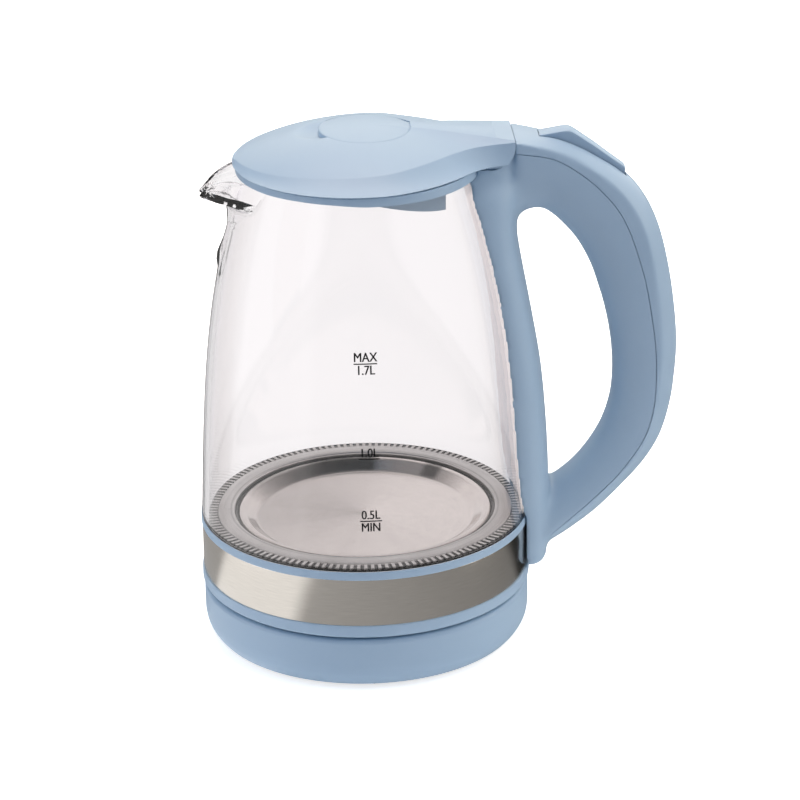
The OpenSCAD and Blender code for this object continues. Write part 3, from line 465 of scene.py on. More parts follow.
# %% A tree that sweeps an outline round the axis
def sweep_tree():
    tree = bpy.data.node_groups.new("sweep_round_axis", "GeometryNodeTree")
    face = tree.interface
    face.new_socket("Geometry", in_out="INPUT", socket_type="NodeSocketGeometry")
    face.new_socket("Radius", in_out="INPUT", socket_type="NodeSocketFloat").default_value = 0.05
    face.new_socket("Steps", in_out="INPUT", socket_type="NodeSocketInt").default_value = 256
    face.new_socket("Material", in_out="INPUT", socket_type="NodeSocketMaterial")
    face.new_socket("Geometry", in_out="OUTPUT", socket_type="NodeSocketGeometry")
    given = node(tree, "NodeGroupInput")
    outline = node(tree, "GeometryNodeMeshToCurve", {"Mesh": given.outputs["Geometry"]})
    path = node(tree, "GeometryNodeCurvePrimitiveCircle",
        {"Resolution": given.outputs["Steps"], "Radius": given.outputs["Radius"]})
    skin = node(tree, "GeometryNodeCurveToMesh",
        {"Curve": path.outputs["Curve"], "Profile Curve": outline.outputs[0]})
    plain = node(tree, "GeometryNodeRealizeInstances", {"Geometry": skin.outputs[0]})
    painted = node(tree, "GeometryNodeSetMaterial",
        {"Geometry": plain.outputs[0], "Material": given.outputs["Material"]})
    node(tree, "NodeGroupOutput", {"Geometry": painted.outputs[0]})
    return tree


SWEEP = sweep_tree()


def socket_id(tree, name):
    """The identifier that a modifier uses for a tree's named input."""
    return next(i.identifier for i in tree.interface.items_tree
        if i.item_type == "SOCKET" and i.in_out == "INPUT" and i.name == name)


SWEEP_STEPS, SWEEP_R = 256, 60.0


def swept(name, profile, material):
    """Runs the sweep on a closed outline of radius and height pairs."""
    mesh = bpy.data.meshes.new(name)
    pts = [((r - SWEEP_R)*MM, -z*MM, 0) for r, z in profile]
    mesh.from_pydata(pts, [(i, (i + 1)%len(pts)) for i in range(len(pts))], [])
    obj = bpy.data.objects.new(name, mesh)
    bpy.context.scene.collection.objects.link(obj)
    mod = obj.modifiers.new("sweep", "NODES")
    mod.node_group = SWEEP
    mod[socket_id(SWEEP, "Radius")] = SWEEP_R*MM
    mod[socket_id(SWEEP, "Steps")] = SWEEP_STEPS
    mod[socket_id(SWEEP, "Material")] = material
    apply_modifiers(obj)
    body = bmesh.new()
    body.from_mesh(obj.data)
    bmesh.ops.remove_doubles(body, verts=body.verts, dist=0.000005)
    bmesh.ops.recalc_face_normals(body, faces=body.faces)
    body.to_mesh(obj.data)
    body.free()
    size = np.array([v.co for v in obj.data.vertices])
    print(name, "radius", round(float(np.hypot(size[:, 0], size[:, 1]).max())*1000, 2),
        "height", [round(float(v)*1000, 2) for v in (size[:, 2].min(), size[:, 2].max())])
    return obj


# %% The base's cover
BASE_R, WALL, SOCKET_R, GAP = BAND_R - 0.1, 2.4, 16, 0.3
base_outline = [(SOCKET_R + GAP, DECK_Z), (BASE_R - 2.2, DECK_Z), (BASE_R - 0.8, DECK_Z - 0.6),
    (BASE_R, DECK_Z - 2), (BASE_R, 13), (BASE_R - 0.7, 9), (BASE_R - 2.6, 5.4), (BASE_R - 5, 2.7),
    (BASE_R - 5 - WALL, 2.7), (BASE_R - 2.6 - WALL, 7), (BASE_R - WALL, 12.5),
    (BASE_R - WALL, DECK_Z - WALL), (SOCKET_R + GAP, DECK_Z - WALL)]
base = swept("power_base_cover", rounded(base_outline, 1.6, 5), blue)
INLET_R, INLET_Z = 6.2, 13
inlet = loft("inlet_cut", [[(INLET_R*math.cos(a), y, INLET_Z + INLET_R*math.sin(a))
    for a in np.linspace(0, 2*math.pi, 48, endpoint=False)]
    for y in (BASE_R - 11, BASE_R + 2)])
boolean(base, inlet)
shade(base)
seat(base, blue, "power_base", "blue_plastic", "base_cover")

# %% [markdown]
# ## Housing, steel band and collar
# A blue housing carries the steel band between two thin proud rings, and a collar
# closes the neck. They are turned shells as well, with small rounded corners.

# %% Housing with its two proud rings
SEAT_R = BAND_R - BAND_T - 0.05
housing_outline = [(BAND_R - 1, RING_Z), (BAND_R + 0.6, RING_Z + 1.4), (BAND_R + 0.6, BAND_Z - 0.5),
    (BAND_R + 0.2, BAND_Z), (SEAT_R, BAND_Z), (SEAT_R, TRIM_Z), (BAND_R + 0.2, TRIM_Z),
    (BAND_R + 0.4, TRIM_Z + 0.5), (BAND_R + 0.4, GLASS_Z - 0.5), (BAND_R, GLASS_Z),
    (BAND_R - GLASS_T, GLASS_Z), (BAND_R - GLASS_T, SHELF_Z), (66.5, SHELF_Z),
    (66.5, SHELF_Z - 2.4),
    (SEAT_R - WALL, SHELF_Z - 2.4), (SEAT_R - WALL, RING_Z)]
housing = swept("bottom_housing_shell", rounded(housing_outline, 0.35, 3), blue)
shade(housing)
seat(housing, blue, "kettle", "blue_plastic", "bottom_housing")

# %% Steel band
band_outline = rounded([(BAND_R - BAND_T, BAND_Z + 0.02), (BAND_R, BAND_Z + 0.02),
    (BAND_R, TRIM_Z - 0.02),
    (BAND_R - BAND_T, TRIM_Z - 0.02)], 0.2, 2)
steel_band = shade(swept("steel_band_ring", band_outline, band))
seat(steel_band, band, "kettle", "band_steel", "steel_band")

# %% Heating plate
FLOOR_Z, LEDGE_Z, RIM_TOP, PLATE_T = SHELF_Z - 2, SHELF_Z + 1.1, SHELF_Z + 2.3, 0.8
plate_outline = [(0.001, FLOOR_Z - PLATE_T), (51.9, FLOOR_Z - PLATE_T), (57.4, RIM_TOP - PLATE_T),
    (59.2, RIM_TOP - PLATE_T),
    (59.9, LEDGE_Z - PLATE_T), (66.6, LEDGE_Z - PLATE_T), (66.6, LEDGE_Z), (60.4, LEDGE_Z),
    (59.6, RIM_TOP), (57, RIM_TOP),
    (51.2, FLOOR_Z), (0.001, FLOOR_Z)]
plate_obj = revolve("heating_plate_dish",
    [plate_outline[0]] + rounded(plate_outline, 1.2, 5)[6:-6] + [plate_outline[-1]], 192)
shade(plate_obj, 40)
seat(plate_obj, plate, "kettle", "plate_steel", "heating_plate")

# %% Collar round the neck
rim_r = float(glass_r(RIM_Z))
collar_r, collar_in = rim_r + 4, rim_r - 1.7
LIP_LOW = [[-180, 0.3], [-145, 0.3], [-138, 0.3], [-120, 0.5], [-103, 0.2], [-88, -0.7],
    [-60, -1.0], [0, -1.0]]


def collar_section(a):
    """Outline of the collar at one angle; its lip hangs lower towards the handle."""
    low = RIM_Z + float(np.interp(-abs(math.degrees(a)), *np.array(LIP_LOW).T))
    inner_low = max(low, RIM_Z + 0.05)
    outline = [(collar_in, inner_low), (rim_r + 1.2, inner_low), (rim_r + 1.4, low),
        (collar_r, low),
        (collar_r, RIM_Z + 3.5), (collar_in, RIM_Z + 3.5)]
    return [(r*math.cos(a), r*math.sin(a), z) for r, z in rounded(outline, 0.3, 3)]


collar = loft("neck_collar_ring", [collar_section(a)
    for a in np.linspace(-math.pi, math.pi, 256, endpoint=False)], loop=True)
sweep_room = prism("sweep_room", disc_outline(HINGE_X, HINGE_Z, NECK_R + GAP), -21, 21)
boolean(collar, sweep_room)
shade(collar)
seat(collar, blue, "kettle", "blue_plastic", "neck_collar")

# %% [markdown]
# ## Glass body with its spout
# The glass is one blown shell: a tapered tube whose rim is drawn out into a V-shaped spout.
# Columns of points run up the wall, and those in the spout's sector leave the circle along
# the crease and meet at the nose, so the crease falls on an edge loop. The inner wall is the
# same surface moved in by the wall's thickness, and a half-round rim joins the two.

# %% Spout rules
SPOUT = smooth_list([[40, 4, 66.3], [32, 5, 63.2], [27.7, 6, 61.7], [22.7, 14, 60.9],
    [18.7, 21, 60.8],
    [16.4, 23.5, 61.2], [14.4, 25.2, 62.6], [13.2, 26.3, 65], [12.3, 27.2, 68.6], [11.5, 28.2, 73],
    [10.5, 29, 75.6],
    [6.2, 31.5, 74], [1.2, 34, 69.5], [-1.3, 36, 67]], 6)
RIM_LINE = np.array([[-90, 20], [-79, 14], [-75, 11.7], [-73.5, 9.7], [-71.3, 8.4], [-68, 5.3],
    [-64.7, 3.1], [-61.5, 1.5], [-57.9, 0.5], [-52, 0.05], [-45, 0], [60, 0], [90, 0]])


def rim_height(x):
    return RIM_Z - float(np.interp(x, RIM_LINE[:, 0], RIM_LINE[:, 1]))


def spout_point(q, z, inset):
    """A point of the spout's sector; q runs from 0 at the nose to 1 at the crease."""
    depth = RIM_Z - (z - inset*0.9)
    half = math.radians(float(np.interp(depth, SPOUT[::-1, 0], SPOUT[::-1, 1])))
    nose = float(np.interp(depth, SPOUT[::-1, 0], SPOUT[::-1, 2]))
    r = float(glass_r(z)) - inset
    nose = max(nose - inset*1.1, r)
    root = (-r*math.cos(half), r*math.sin(half))
    d = 1 - q**1.25
    base = -math.sqrt(max(r*r - (root[1]*q)**2, 0))
    reach = nose + root[0]
    full = root[0] - reach*d
    blend = float(smoothstep(0, 1.5, nose - r))
    return (full*blend + base*(1 - blend), root[1]*q, z)


def wall_point(s, z, inset):
    """A point of the wall; s from 0 to 1 crosses the spout's sector, 1 to 2 the rest."""
    if s <= 1:
        return spout_point(s, z, inset)
    depth = RIM_Z - (z - inset*0.9)
    half = math.radians(float(np.interp(depth, SPOUT[::-1, 0], SPOUT[::-1, 1])))
    a = half + (math.pi - half)*(s - 1)
    r = float(glass_r(z)) - inset
    return (-r*math.cos(a), r*math.sin(a), z)


# %% Columns of the glass
ROWS_CLOSER, SPOUT_FOOT, RIM_ROUND = 200, 208, 1.1


def column_top(s, inset):
    """The height where a column meets the rim line."""
    low, high = 205.0, RIM_Z
    for _ in range(24):
        mid = (low + high)/2
        low, high = (mid, high) if mid < rim_height(wall_point(s, mid, inset)[0]) else (low, mid)
    return low - RIM_ROUND


def glass_skin(inset, foot):
    """Rows of the wall for one half, from the foot to the rim line."""
    shares = list(np.linspace(0, 1, 21)) + list(1 + np.linspace(0, 1, 81)[1:])
    tops = [column_top(s, inset) for s in shares]
    low_rows = list(np.linspace(foot, ROWS_CLOSER, 40)[:-1]) + list(np.linspace(ROWS_CLOSER,
        SPOUT_FOOT, 8)[:-1])
    rows = []
    for z in low_rows:
        rows.append([wall_point(s, z, inset) for s in shares])
    for k in range(61):
        rows.append([wall_point(s, SPOUT_FOOT + (top - SPOUT_FOOT)*k/60, inset) for s,
            top in zip(shares, tops)])
    return [row + [(x, -y, z) for x, y, z in row[-2:0:-1]] for row in rows]


outer = glass_skin(0, GLASS_Z)
inner = glass_skin(GLASS_T, GLASS_Z)
rim_rows = []
for k in range(1, 6):
    a = math.pi*k/6
    rise = np.array([0, 0, RIM_ROUND*math.sin(a)])
    rim_rows.append([tuple(np.array(o)*(1 + math.cos(a))/2 + np.array(i)*(1 - math.cos(a))/2 + rise)
        for o, i in zip(outer[-1], inner[-1])])
glass = loft("glass_shell", outer + rim_rows + inner[::-1], loop=True)
shade(glass, 24)
seat(glass, clear, "kettle", "clear_glass", "glass_body")

# %% [markdown]
# ## Level marks
# The marks are printed on the glass. Text becomes a thin mesh that is bent onto the wall,
# a few hundredths proud of it.

# %% Printed marks
MARK_TURN, MARK_SIZE, MARK_STRETCH = math.radians(-93.0), 5.0, 1.2
STROKE_SHIFTS = ((0.12, 0), (-0.12, 0), (0, 0.06))


def bent_to_glass(obj, z0):
    """Wraps a flat mesh in the XY plane round the glass, with its middle at the mark's turn."""
    for v in obj.data.vertices:
        x, y, lift = v.co.x/MM, v.co.y/MM, v.co.z/MM
        z = z0 + y
        r = float(glass_r(z)) + 0.05 + lift
        a = MARK_TURN + x/r
        v.co = (r*math.cos(a)*MM, r*math.sin(a)*MM, z*MM)


def mark(name, text, z, shift):
    """One line of text on the glass; shifted copies of its faces make the strokes bold."""
    curve = bpy.data.curves.new(name, "FONT")
    curve.body, curve.align_x, curve.size = text, "CENTER", MARK_SIZE*MM
    flat = bpy.data.objects.new(name + "_flat", curve)
    bpy.context.scene.collection.objects.link(flat)
    bpy.context.view_layer.update()
    seen_text = flat.evaluated_get(bpy.context.evaluated_depsgraph_get())
    mesh = bpy.data.meshes.new_from_object(seen_text)
    bpy.data.objects.remove(flat)
    obj = bpy.data.objects.new(name, mesh)
    bpy.context.scene.collection.objects.link(obj)
    for v in mesh.vertices:
        v.co.x, v.co.y = v.co.x + shift*MM, v.co.y*MARK_STRETCH
    body = bmesh.new()
    body.from_mesh(mesh)
    bmesh.ops.triangulate(body, faces=body.faces)
    shifted = body.copy()
    for dx, dy in STROKE_SHIFTS:
        for v in shifted.verts:
            v.co.x, v.co.y = v.co.x + dx*MM, v.co.y + dy*MM
        part = bpy.data.meshes.new("part")
        shifted.to_mesh(part)
        body.from_mesh(part)
        bpy.data.meshes.remove(part)
        for v in shifted.verts:
            v.co.x, v.co.y = v.co.x - dx*MM, v.co.y - dy*MM
    shifted.free()
    bmesh.ops.subdivide_edges(body, edges=[e for e in body.edges if e.calc_length() > 0.0015],
        cuts=2)
    body.to_mesh(mesh)
    body.free()
    bent_to_glass(obj, z)
    return obj


def rule(name, width, z, shift):
    """The thin line between two marks."""
    n = 12
    pts = [(shift - width/2 + width*i/n, y) for y in (-0.28, 0.28) for i in range(n + 1)]
    faces = [(i, i + 1, n + 2 + i, n + 1 + i) for i in range(n)]
    mesh = bpy.data.meshes.new(name)
    mesh.from_pydata([(x*MM, y*MM, 0) for x, y in pts], [], faces)
    obj = bpy.data.objects.new(name, mesh)
    bpy.context.scene.collection.objects.link(obj)
    bent_to_glass(obj, z)
    return obj


marks = [mark("mark_max", "MAX", 162.6, 2.4), rule("line_max", 10.6, 161.6, 2.4),
    mark("mark_17", "1.7L", 156.7, 2.4),
    mark("mark_10", "1.0L", 118.0, 3.2), rule("line_10", 9.6, 117.1, 3.2),
    mark("mark_05", "0.5L", 88.2, 3.5), rule("line_05", 10, 87.2, 3.5),
    mark("mark_min", "MIN", 82.2, 3.5)]
for m in marks:
    seat(m, ink, "kettle", "clear_glass")

# %% [markdown]
# ## Sealing ring
# A grey ring clamps the plate inside the glass. Short teeth stand round its outer top. They
# repeat, so a second tree places one small block evenly round a circle.

# %% Ring and its teeth
GASKET_R, RING_TOP, RIBS = BAND_R - GLASS_T - 0.2, SHELF_Z + 3.6, 144
ring_outline = rounded([(GASKET_R - 12.4, LEDGE_Z + 0.1), (66.9, LEDGE_Z + 0.1),
    (66.9, SHELF_Z + 0.05), (GASKET_R - 0.9, SHELF_Z + 0.05),
    (GASKET_R - 0.9, RING_TOP - 1.6), (GASKET_R, RING_TOP - 1.4), (GASKET_R, RING_TOP - 0.9),
    (GASKET_R - 4.2, RING_TOP - 0.9),
    (GASKET_R - 4.5, RING_TOP), (GASKET_R - 11.8, RING_TOP), (GASKET_R - 12.4, RING_TOP - 0.6)],
    0.25, 2)
ring = shade(swept("sealing_ring_base", ring_outline, ring_shade))


def ribs_tree():
    tree = bpy.data.node_groups.new("ribs_round_axis", "GeometryNodeTree")
    face = tree.interface
    for label, kind, value in (("Radius", "NodeSocketFloat", 0.07), ("Count", "NodeSocketInt", 96),
            ("Height", "NodeSocketFloat", 0.004), ("Base", "NodeSocketFloat", 0.06),
            ("Width", "NodeSocketFloat", 0.0014),
            ("Depth", "NodeSocketFloat", 0.001)):
        face.new_socket(label, in_out="INPUT", socket_type=kind).default_value = value
    face.new_socket("Material", in_out="INPUT", socket_type="NodeSocketMaterial")
    face.new_socket("Geometry", in_out="OUTPUT", socket_type="NodeSocketGeometry")
    given = node(tree, "NodeGroupInput")
    circle = node(tree, "GeometryNodeMeshCircle",
        {"Vertices": given.outputs["Count"], "Radius": given.outputs["Radius"]})
    size = node(tree, "ShaderNodeCombineXYZ",
        {0: given.outputs["Depth"], 1: given.outputs["Width"], 2: given.outputs["Height"]})
    rib = node(tree, "GeometryNodeMeshCube", {"Size": size.outputs[0]})
    position = node(tree, "GeometryNodeInputPosition")
    facing = node(tree, "FunctionNodeAlignRotationToVector", {"Vector": position.outputs[0]},
        axis="X")
    placed = node(tree, "GeometryNodeInstanceOnPoints",
        {"Points": circle.outputs[0], "Instance": rib.outputs[0],
        "Rotation": facing.outputs[0]})
    lift = node(tree, "ShaderNodeCombineXYZ", {2: given.outputs["Base"]})
    raised = node(tree, "GeometryNodeTransform",
        {"Geometry": placed.outputs[0], "Translation": lift.outputs[0]})
    plain = node(tree, "GeometryNodeRealizeInstances", {"Geometry": raised.outputs[0]})
    painted = node(tree, "GeometryNodeSetMaterial",
        {"Geometry": plain.outputs[0], "Material": given.outputs["Material"]})
    node(tree, "NodeGroupOutput", {"Geometry": painted.outputs[0]})
    return tree


RIBS_TREE = ribs_tree()
ribs = bpy.data.objects.new("sealing_ring_ribs", bpy.data.meshes.new("sealing_ring_ribs"))
bpy.context.scene.collection.objects.link(ribs)
mod = ribs.modifiers.new("ribs", "NODES")
mod.node_group = RIBS_TREE
for label, value in (("Radius", (GASKET_R - 2.1)*MM), ("Count", RIBS), ("Height", 1.1*MM),
    ("Base", (RING_TOP - 0.75)*MM),
        ("Width", 1.5*MM), ("Depth", 4.1*MM), ("Material", ring_metal)):
    mod[socket_id(RIBS_TREE, label)] = value
apply_modifiers(ribs)
seat(ring, ring_shade, "kettle", "grey_silicone", "plate_gasket")
seat(ribs, ring_metal, "kettle", "grey_silicone")

# %% [markdown]
# ## Handle
# The handle is a wide strip against the glass and a bowed grip. Both are lofts, joined and
# remeshed so that they flow into each other as one moulding does, and then cut along the
# parting line into a body and a cover.

# %% Stations of the handle
STRIP = [[35.8, 84.4, 19], [36.1, 85.2, 19.6], [36.8, 85.9, 20.4], [38.2, 86.4, 21.2],
    [41, 86.7, 21.8], [48, 87, 22.3],
    [58, 87.3, 22.6], [67, 87.4, 25], [77, 87.4, 28.6], [90, 87, 30], [110, 86, 30],
    [135, 83.8, 29.4], [160, 79.8, 28.4], [185, 75.4, 27.2], [200, 73.2, 26.3], [213, 73.5, 25],
    [221, 74, 24], [227, 74, 20.5], [232, 73.5, 18], [238, 73, 16.4], [245.4, 72.4, 15.6]]
GRIP = [[71.9, 246.4, 70, 203, 15.6, 1], [80, 245.7, 77, 208.6, 15.4, 2.2],
    [90.6, 244.2, 84, 209.8, 15, 4], [101, 240.2, 90, 206, 14.8, 4.8],
    [111.2, 234, 95.7, 200.2, 14.5, 5.2], [120.4, 227.6, 100.6, 194.2, 14.2, 6],
    [128.2, 220, 104.5, 187.6, 14, 7], [134.7, 210.2, 108, 180, 13.8, 7.5],
    [140, 197, 111, 171, 13.6, 7.8], [144, 180.2, 114, 160.5, 13.4, 8.2],
    [146.9, 161.2, 116.2, 150, 13.3, 8.2], [148.4, 142, 117.7, 139, 13.3, 8.4],
    [147.7, 126, 118.2, 127, 13.3, 8.5], [145.6, 110, 117.2, 114.5, 13.4, 8.7],
    [141.2, 94.6, 113.6, 102, 13.8, 8.5], [134, 82, 107.8, 91, 14.4, 8.5],
    [124, 70.4, 101, 82, 15.2, 8.5], [111.6, 58, 94, 75.4, 16.2, 8.5],
    [99, 48.4, 88.4, 71.4, 17.4, 8], [89, 42.6, 83, 69, 18.6, 7.5],
    [80.6, 39.4, 79.4, 66, 19.2, 7]]
PARTING = [[60, 240.2], [72, 240], [78, 239.2], [84, 238.2], [90.3, 236.3], [97.7, 232],
    [106, 225.6],
    [112, 219.6], [120, 209.4], [126, 196], [132, 175.6], [135.4, 156], [137.2, 141], [137.5, 123],
    [136, 108.6], [131.5, 95.4], [121, 80.4], [111, 70.4], [101.6, 62], [92.2, 54.4], [87.8, 51]]
SECTION_N = 2.6


def seat_radius(z):
    """The radius that the handle's inner face follows, just clear of the kettle."""
    if z < GLASS_Z + 1:
        return BAND_R + 0.6 + GAP
    return float(glass_r(z)) + GAP if z < RIM_Z else collar_r + GAP


def strip_ring(z, out, half):
    r = seat_radius(z)
    a = math.asin(half/r)
    root = r*math.cos(a)
    ring = [(r*math.cos(a*k/8), r*math.sin(a*k/8), z) for k in range(-8, 9)]
    for k in range(1, 40):
        t = math.pi*k/40
        c = math.cos(t)
        ring.append((root + (out - root)*math.sin(t)**(2/SECTION_N),
            half*math.copysign(abs(c)**(2/SECTION_N), c), z))
    return ring


def grip_ring(s, inset=0.0):
    """Crowned outside, crisp edge, rounded palm side."""
    mid = np.array([s[0] + s[2], s[1] + s[3]])/2
    out = np.array([s[0] - s[2], s[1] - s[3]])/2
    t = np.linalg.norm(out)
    u = out/t
    t, w, drop = t - inset, s[4] - inset, s[5]
    half = [(w*k/10, t - drop*(k/10)**2) for k in range(11)]
    half += [(w*math.cos(a)**(2/SECTION_N) if a < math.pi/2 - 1e-6 else 0.0,
        t - drop - (2*t - drop)*math.sin(a)**(2/SECTION_N))
        for a in np.linspace(0, math.pi/2, 28)[1:]]
    both = half + [(-a, b) for a, b in half[-2:0:-1]]
    return [(mid[0] + u[0]*b, a, mid[1] + u[1]*b) for a, b in both]


# %% One moulding
strip = loft("strip", [strip_ring(*row) for row in smooth_list(STRIP, 4)])
grip = loft("grip", [grip_ring(row) for row in smooth_list(GRIP, 6)])
boolean(strip, grip, "UNION")
remesh = strip.modifiers.new("remesh", "REMESH")
remesh.mode, remesh.voxel_size = "VOXEL", 0.9*MM
apply_modifiers(strip)
print("handle moulding faces", len(strip.data.polygons))


# %% Soften the joint of grip and strip
def soften(obj, weight, rounds):
    """Moves vertices towards their neighbours' middle, by a weight for each vertex. The
    second, backward step of each round keeps the moulding from shrinking."""
    mesh = obj.data
    co = np.empty(len(mesh.vertices)*3)
    mesh.vertices.foreach_get("co", co)
    co = co.reshape(-1, 3)
    edges = np.empty(len(mesh.edges)*2, int)
    mesh.edges.foreach_get("vertices", edges)
    edges = edges.reshape(-1, 2)
    count = np.bincount(edges.ravel(), minlength=len(co))[:, None]
    w = weight(co/MM)[:, None]
    for _ in range(rounds):
        for factor in (0.62, -0.6):
            total = np.zeros_like(co)
            np.add.at(total, edges[:, 0], co[edges[:, 1]])
            np.add.at(total, edges[:, 1], co[edges[:, 0]])
            co = co + (total/count - co)*factor*(w if factor > 0 else np.minimum(w,
                1)*(1 - np.clip(w, 0, 1)*0.8))
    mesh.vertices.foreach_set("co", co.ravel())
    mesh.update()


SEAT_Z = np.linspace(35, 246, 212)


def joint_weight(p):
    """1 where grip and strip meet under the lid and at the foot, small elsewhere."""
    x, y, z = p.T
    top = smoothstep(112, 92, x)*smoothstep(180, 192, z)*smoothstep(242, 235, z)
    foot = smoothstep(112, 96, x)*smoothstep(38, 44, z)*smoothstep(92, 80, z)
    inner_face = np.interp(z, SEAT_Z, [seat_radius(h) for h in SEAT_Z])
    outside = smoothstep(1.0, 3.0, np.hypot(x, y) - inner_face)
    return 0.25 + 0.75*np.clip(top + foot, 0, 1)*outside


SOFTEN_ROUNDS = 34
soften(strip, joint_weight, SOFTEN_ROUNDS)

# %% Cut the seat and the lever's slot
LEVER_GAP = 0.3
PLAN = [(78, 4.8), (100, 4.8), (123.6, 3.2)]


def lever_plan(grow, end_x):
    """Plan view of the lever: straight at its pin, narrower at its back end."""
    side = [(x, h + grow) for x, h in PLAN[:-1]] + [(end_x, PLAN[-1][1] + grow)]
    return side + [(x, -y) for x, y in side[::-1]]


slot = prism("lever_slot", [(83.3, 253), (83.3, 229.4), (96, 229.4), (108, 229), (115, 223.8),
    (124, 216.8), (124, 253)], -9, 9)
boolean(slot, prism("plan", lever_plan(LEVER_GAP, 124.0), 200, 260, "z"), "INTERSECT")
for cutter in (prism("neck_room", disc_outline(HINGE_X, HINGE_Z, NECK_R + GAP), -21, 21),
        loft("lid_room", [[(-40, -50, z), (HINGE_X, -50, z), (HINGE_X, 50, z), (-40, 50, z)]
        for z in (HINGE_Z - NECK_R, 300)]),
        prism("collar_room", disc_outline(0, 0, collar_r, 192), RIM_Z - 1.2, 300, "z"), slot):
    boolean(strip, cutter)


# %% Part the moulding
def parting_line(shift):
    line = smooth_list(PARTING, 4)
    step = np.gradient(line, axis=0)
    normal = np.stack([-step[:, 1], step[:, 0]], 1)/np.linalg.norm(step, axis=1)[:, None]
    return line + normal*shift


def outside(shift):
    """Everything outside the parting line, as a block through the handle."""
    edge = [tuple(p) for p in parting_line(shift)]
    return prism("outside", edge + [(87.8, 20), (190, 20), (190, 270), (60, 270)], -50, 50)


groove = prism("groove", [tuple(p) for p in parting_line(0.18)] + [tuple(p)
    for p in parting_line(-0.18)[::-1]], -40, 40)
core = loft("core", [grip_ring(row, 0.7) for row in smooth_list(GRIP, 4)])
boolean(groove, core)
boolean(strip, groove)
cover = strip.copy()
cover.data = strip.data.copy()
cover.name = "handle_cover_shell"
bpy.context.scene.collection.objects.link(cover)
boolean(strip, outside(-0.03))
boolean(cover, outside(0.03), "INTERSECT")
strip.name = "handle_body_shell"
for piece, cad in ((strip, "handle_body"), (cover, "handle_cover")):
    shade(piece, 40)
    seat(piece, blue, "kettle", "blue_plastic", cad)

# %% Pale lining between the handle and the glass
strip.data.materials.append(lining)
lined = 0
for face in strip.data.polygons:
    x, y, z = np.array(face.center)/MM
    if GLASS_Z + 2 < z < RIM_Z - 8 and math.hypot(x,
        y) < float(glass_r(z)) + 0.9 and face.normal.x < -0.7:
        face.material_index = 1
        lined += 1
print("lined faces", lined)

# %% [markdown]
# ## Switch lever
# The thumb lever sits in a slot on top of the handle. Its crown is rounded from side to
# side, its flanks are hollow, and its back end stands off the cover.

# %% Lever
LEVER_TOP = smooth_list([[83.6, 245.4], [87, 246.3], [92, 247.5], [96.8, 247.9], [99.6, 246.8],
    [104, 243.7],
    [109.6, 239.6], [116.7, 233.9], [122.6, 229.3], [123.6, 227.6]], 5)
LEVER_LOW = smooth_list([[83.6, 240], [87, 240], [92, 239], [96.8, 237.6], [98.6, 236.8],
    [102, 235.4],
    [107, 232.6], [114, 228], [120.2, 224.6], [122.6, 223.4]], 5)


def lever_ring(top, low, share):
    """Cross-section between the crown and the underside of the lever."""
    half = float(np.interp(top[0], [p[0] for p in PLAN], [p[1] for p in PLAN])) - 0.05
    h = np.linalg.norm(top - low)
    up_dir = (top - low)/h
    crown = 0.9*min(1, share*5)*(1 - 0.6*share**3)
    side = [(half*0.94*k/8, h - crown*(k/8)**2) for k in range(9)]
    side += [(half*0.985, h - crown - 0.18), (half, h - crown - 0.6), (half*0.97, h - crown - 2),
        (half*0.95, h*0.45), (half*0.95, 0)]
    ring = side + [(-a, b) for a, b in side[::-1][:-1]]
    return [(low[0] + up_dir[0]*b, a, low[1] + up_dir[1]*b) for a, b in ring]


n_rings = len(LEVER_TOP)
lever = loft("switch_lever_cap", [lever_ring(LEVER_TOP[i], LEVER_LOW[i], i/(n_rings - 1))
    for i in range(n_rings)])
shade(lever, 34)
seat(lever, blue, "lever", "blue_plastic", "switch_lever")

# %% [markdown]
# ## Lid
# The lid is a shallow dome with a soft edge, a sloping side and a neck that runs back to
# the hinge. Its outline is given by matched points for the upper and the lower edge. A round
# finger rest is set into the crown, with a scoop at its left for the fingertip.

# %% Outlines of the lid
LID_EDGE = [[-57, 0], [-55.6, 7], [-51, 18], [-43, 29], [-32, 37.4], [-19, 43], [-6, 46],
    [6, 46.4], [16, 43.8], [25, 38.4], [34, 31.6], [43, 24], [52, 18.6], [61, 16.6], [69, 16.1],
    [76, 16]]
LID_FOOT = [[-57.6, 0], [-56.2, 12], [-50.6, 27.4], [-41, 40.4], [-28.4, 50], [-14.6, 55.6],
    [-2, 57.4],
    [10, 56.6], [22, 52.4], [33, 45.6], [41.4, 38.4], [47.6, 31.6], [53, 25.6], [59, 21.4],
    [67, 18.4], [76, 17]]
DISC_X, DISC_R = 3.7, 21.3
WELL_Z, SCOOP_X, SCOOP_Z, SCOOP_R = 247.1, -20.0, 276.6, 29.4


def full_outline(half):
    """Mirrors a half outline that starts on the axis, keeping the front smooth."""
    start = [[half[1][0], -half[1][1]]] + half
    fine = smooth_list(start, 6)[6:]
    other = fine[-1:0:-1]*np.array([1, -1])
    return np.concatenate([fine, other])


edge_line, foot_line = full_outline(LID_EDGE), full_outline(LID_FOOT)
lid_centre = np.array([DISC_X, 0])


def crown_height(p, share):
    """Height of the dome; share is 0 at the disc's centre and 1 at the edge."""
    return CROWN_Z - (CROWN_Z - EDGE_Z - TILT*p[:, 0])*share**2.0


def scooped(p, z):
    """The dome with a round fingertip dish at the left, its edge a little softened."""
    d = np.minimum(np.hypot(p[:, 0] - SCOOP_X, p[:, 1] + 0.3), SCOOP_R - 0.01)
    dish = SCOOP_Z - np.sqrt(SCOOP_R**2 - d**2)
    soft = 0.22
    return z - soft*np.log1p(np.exp((z - dish)/soft))


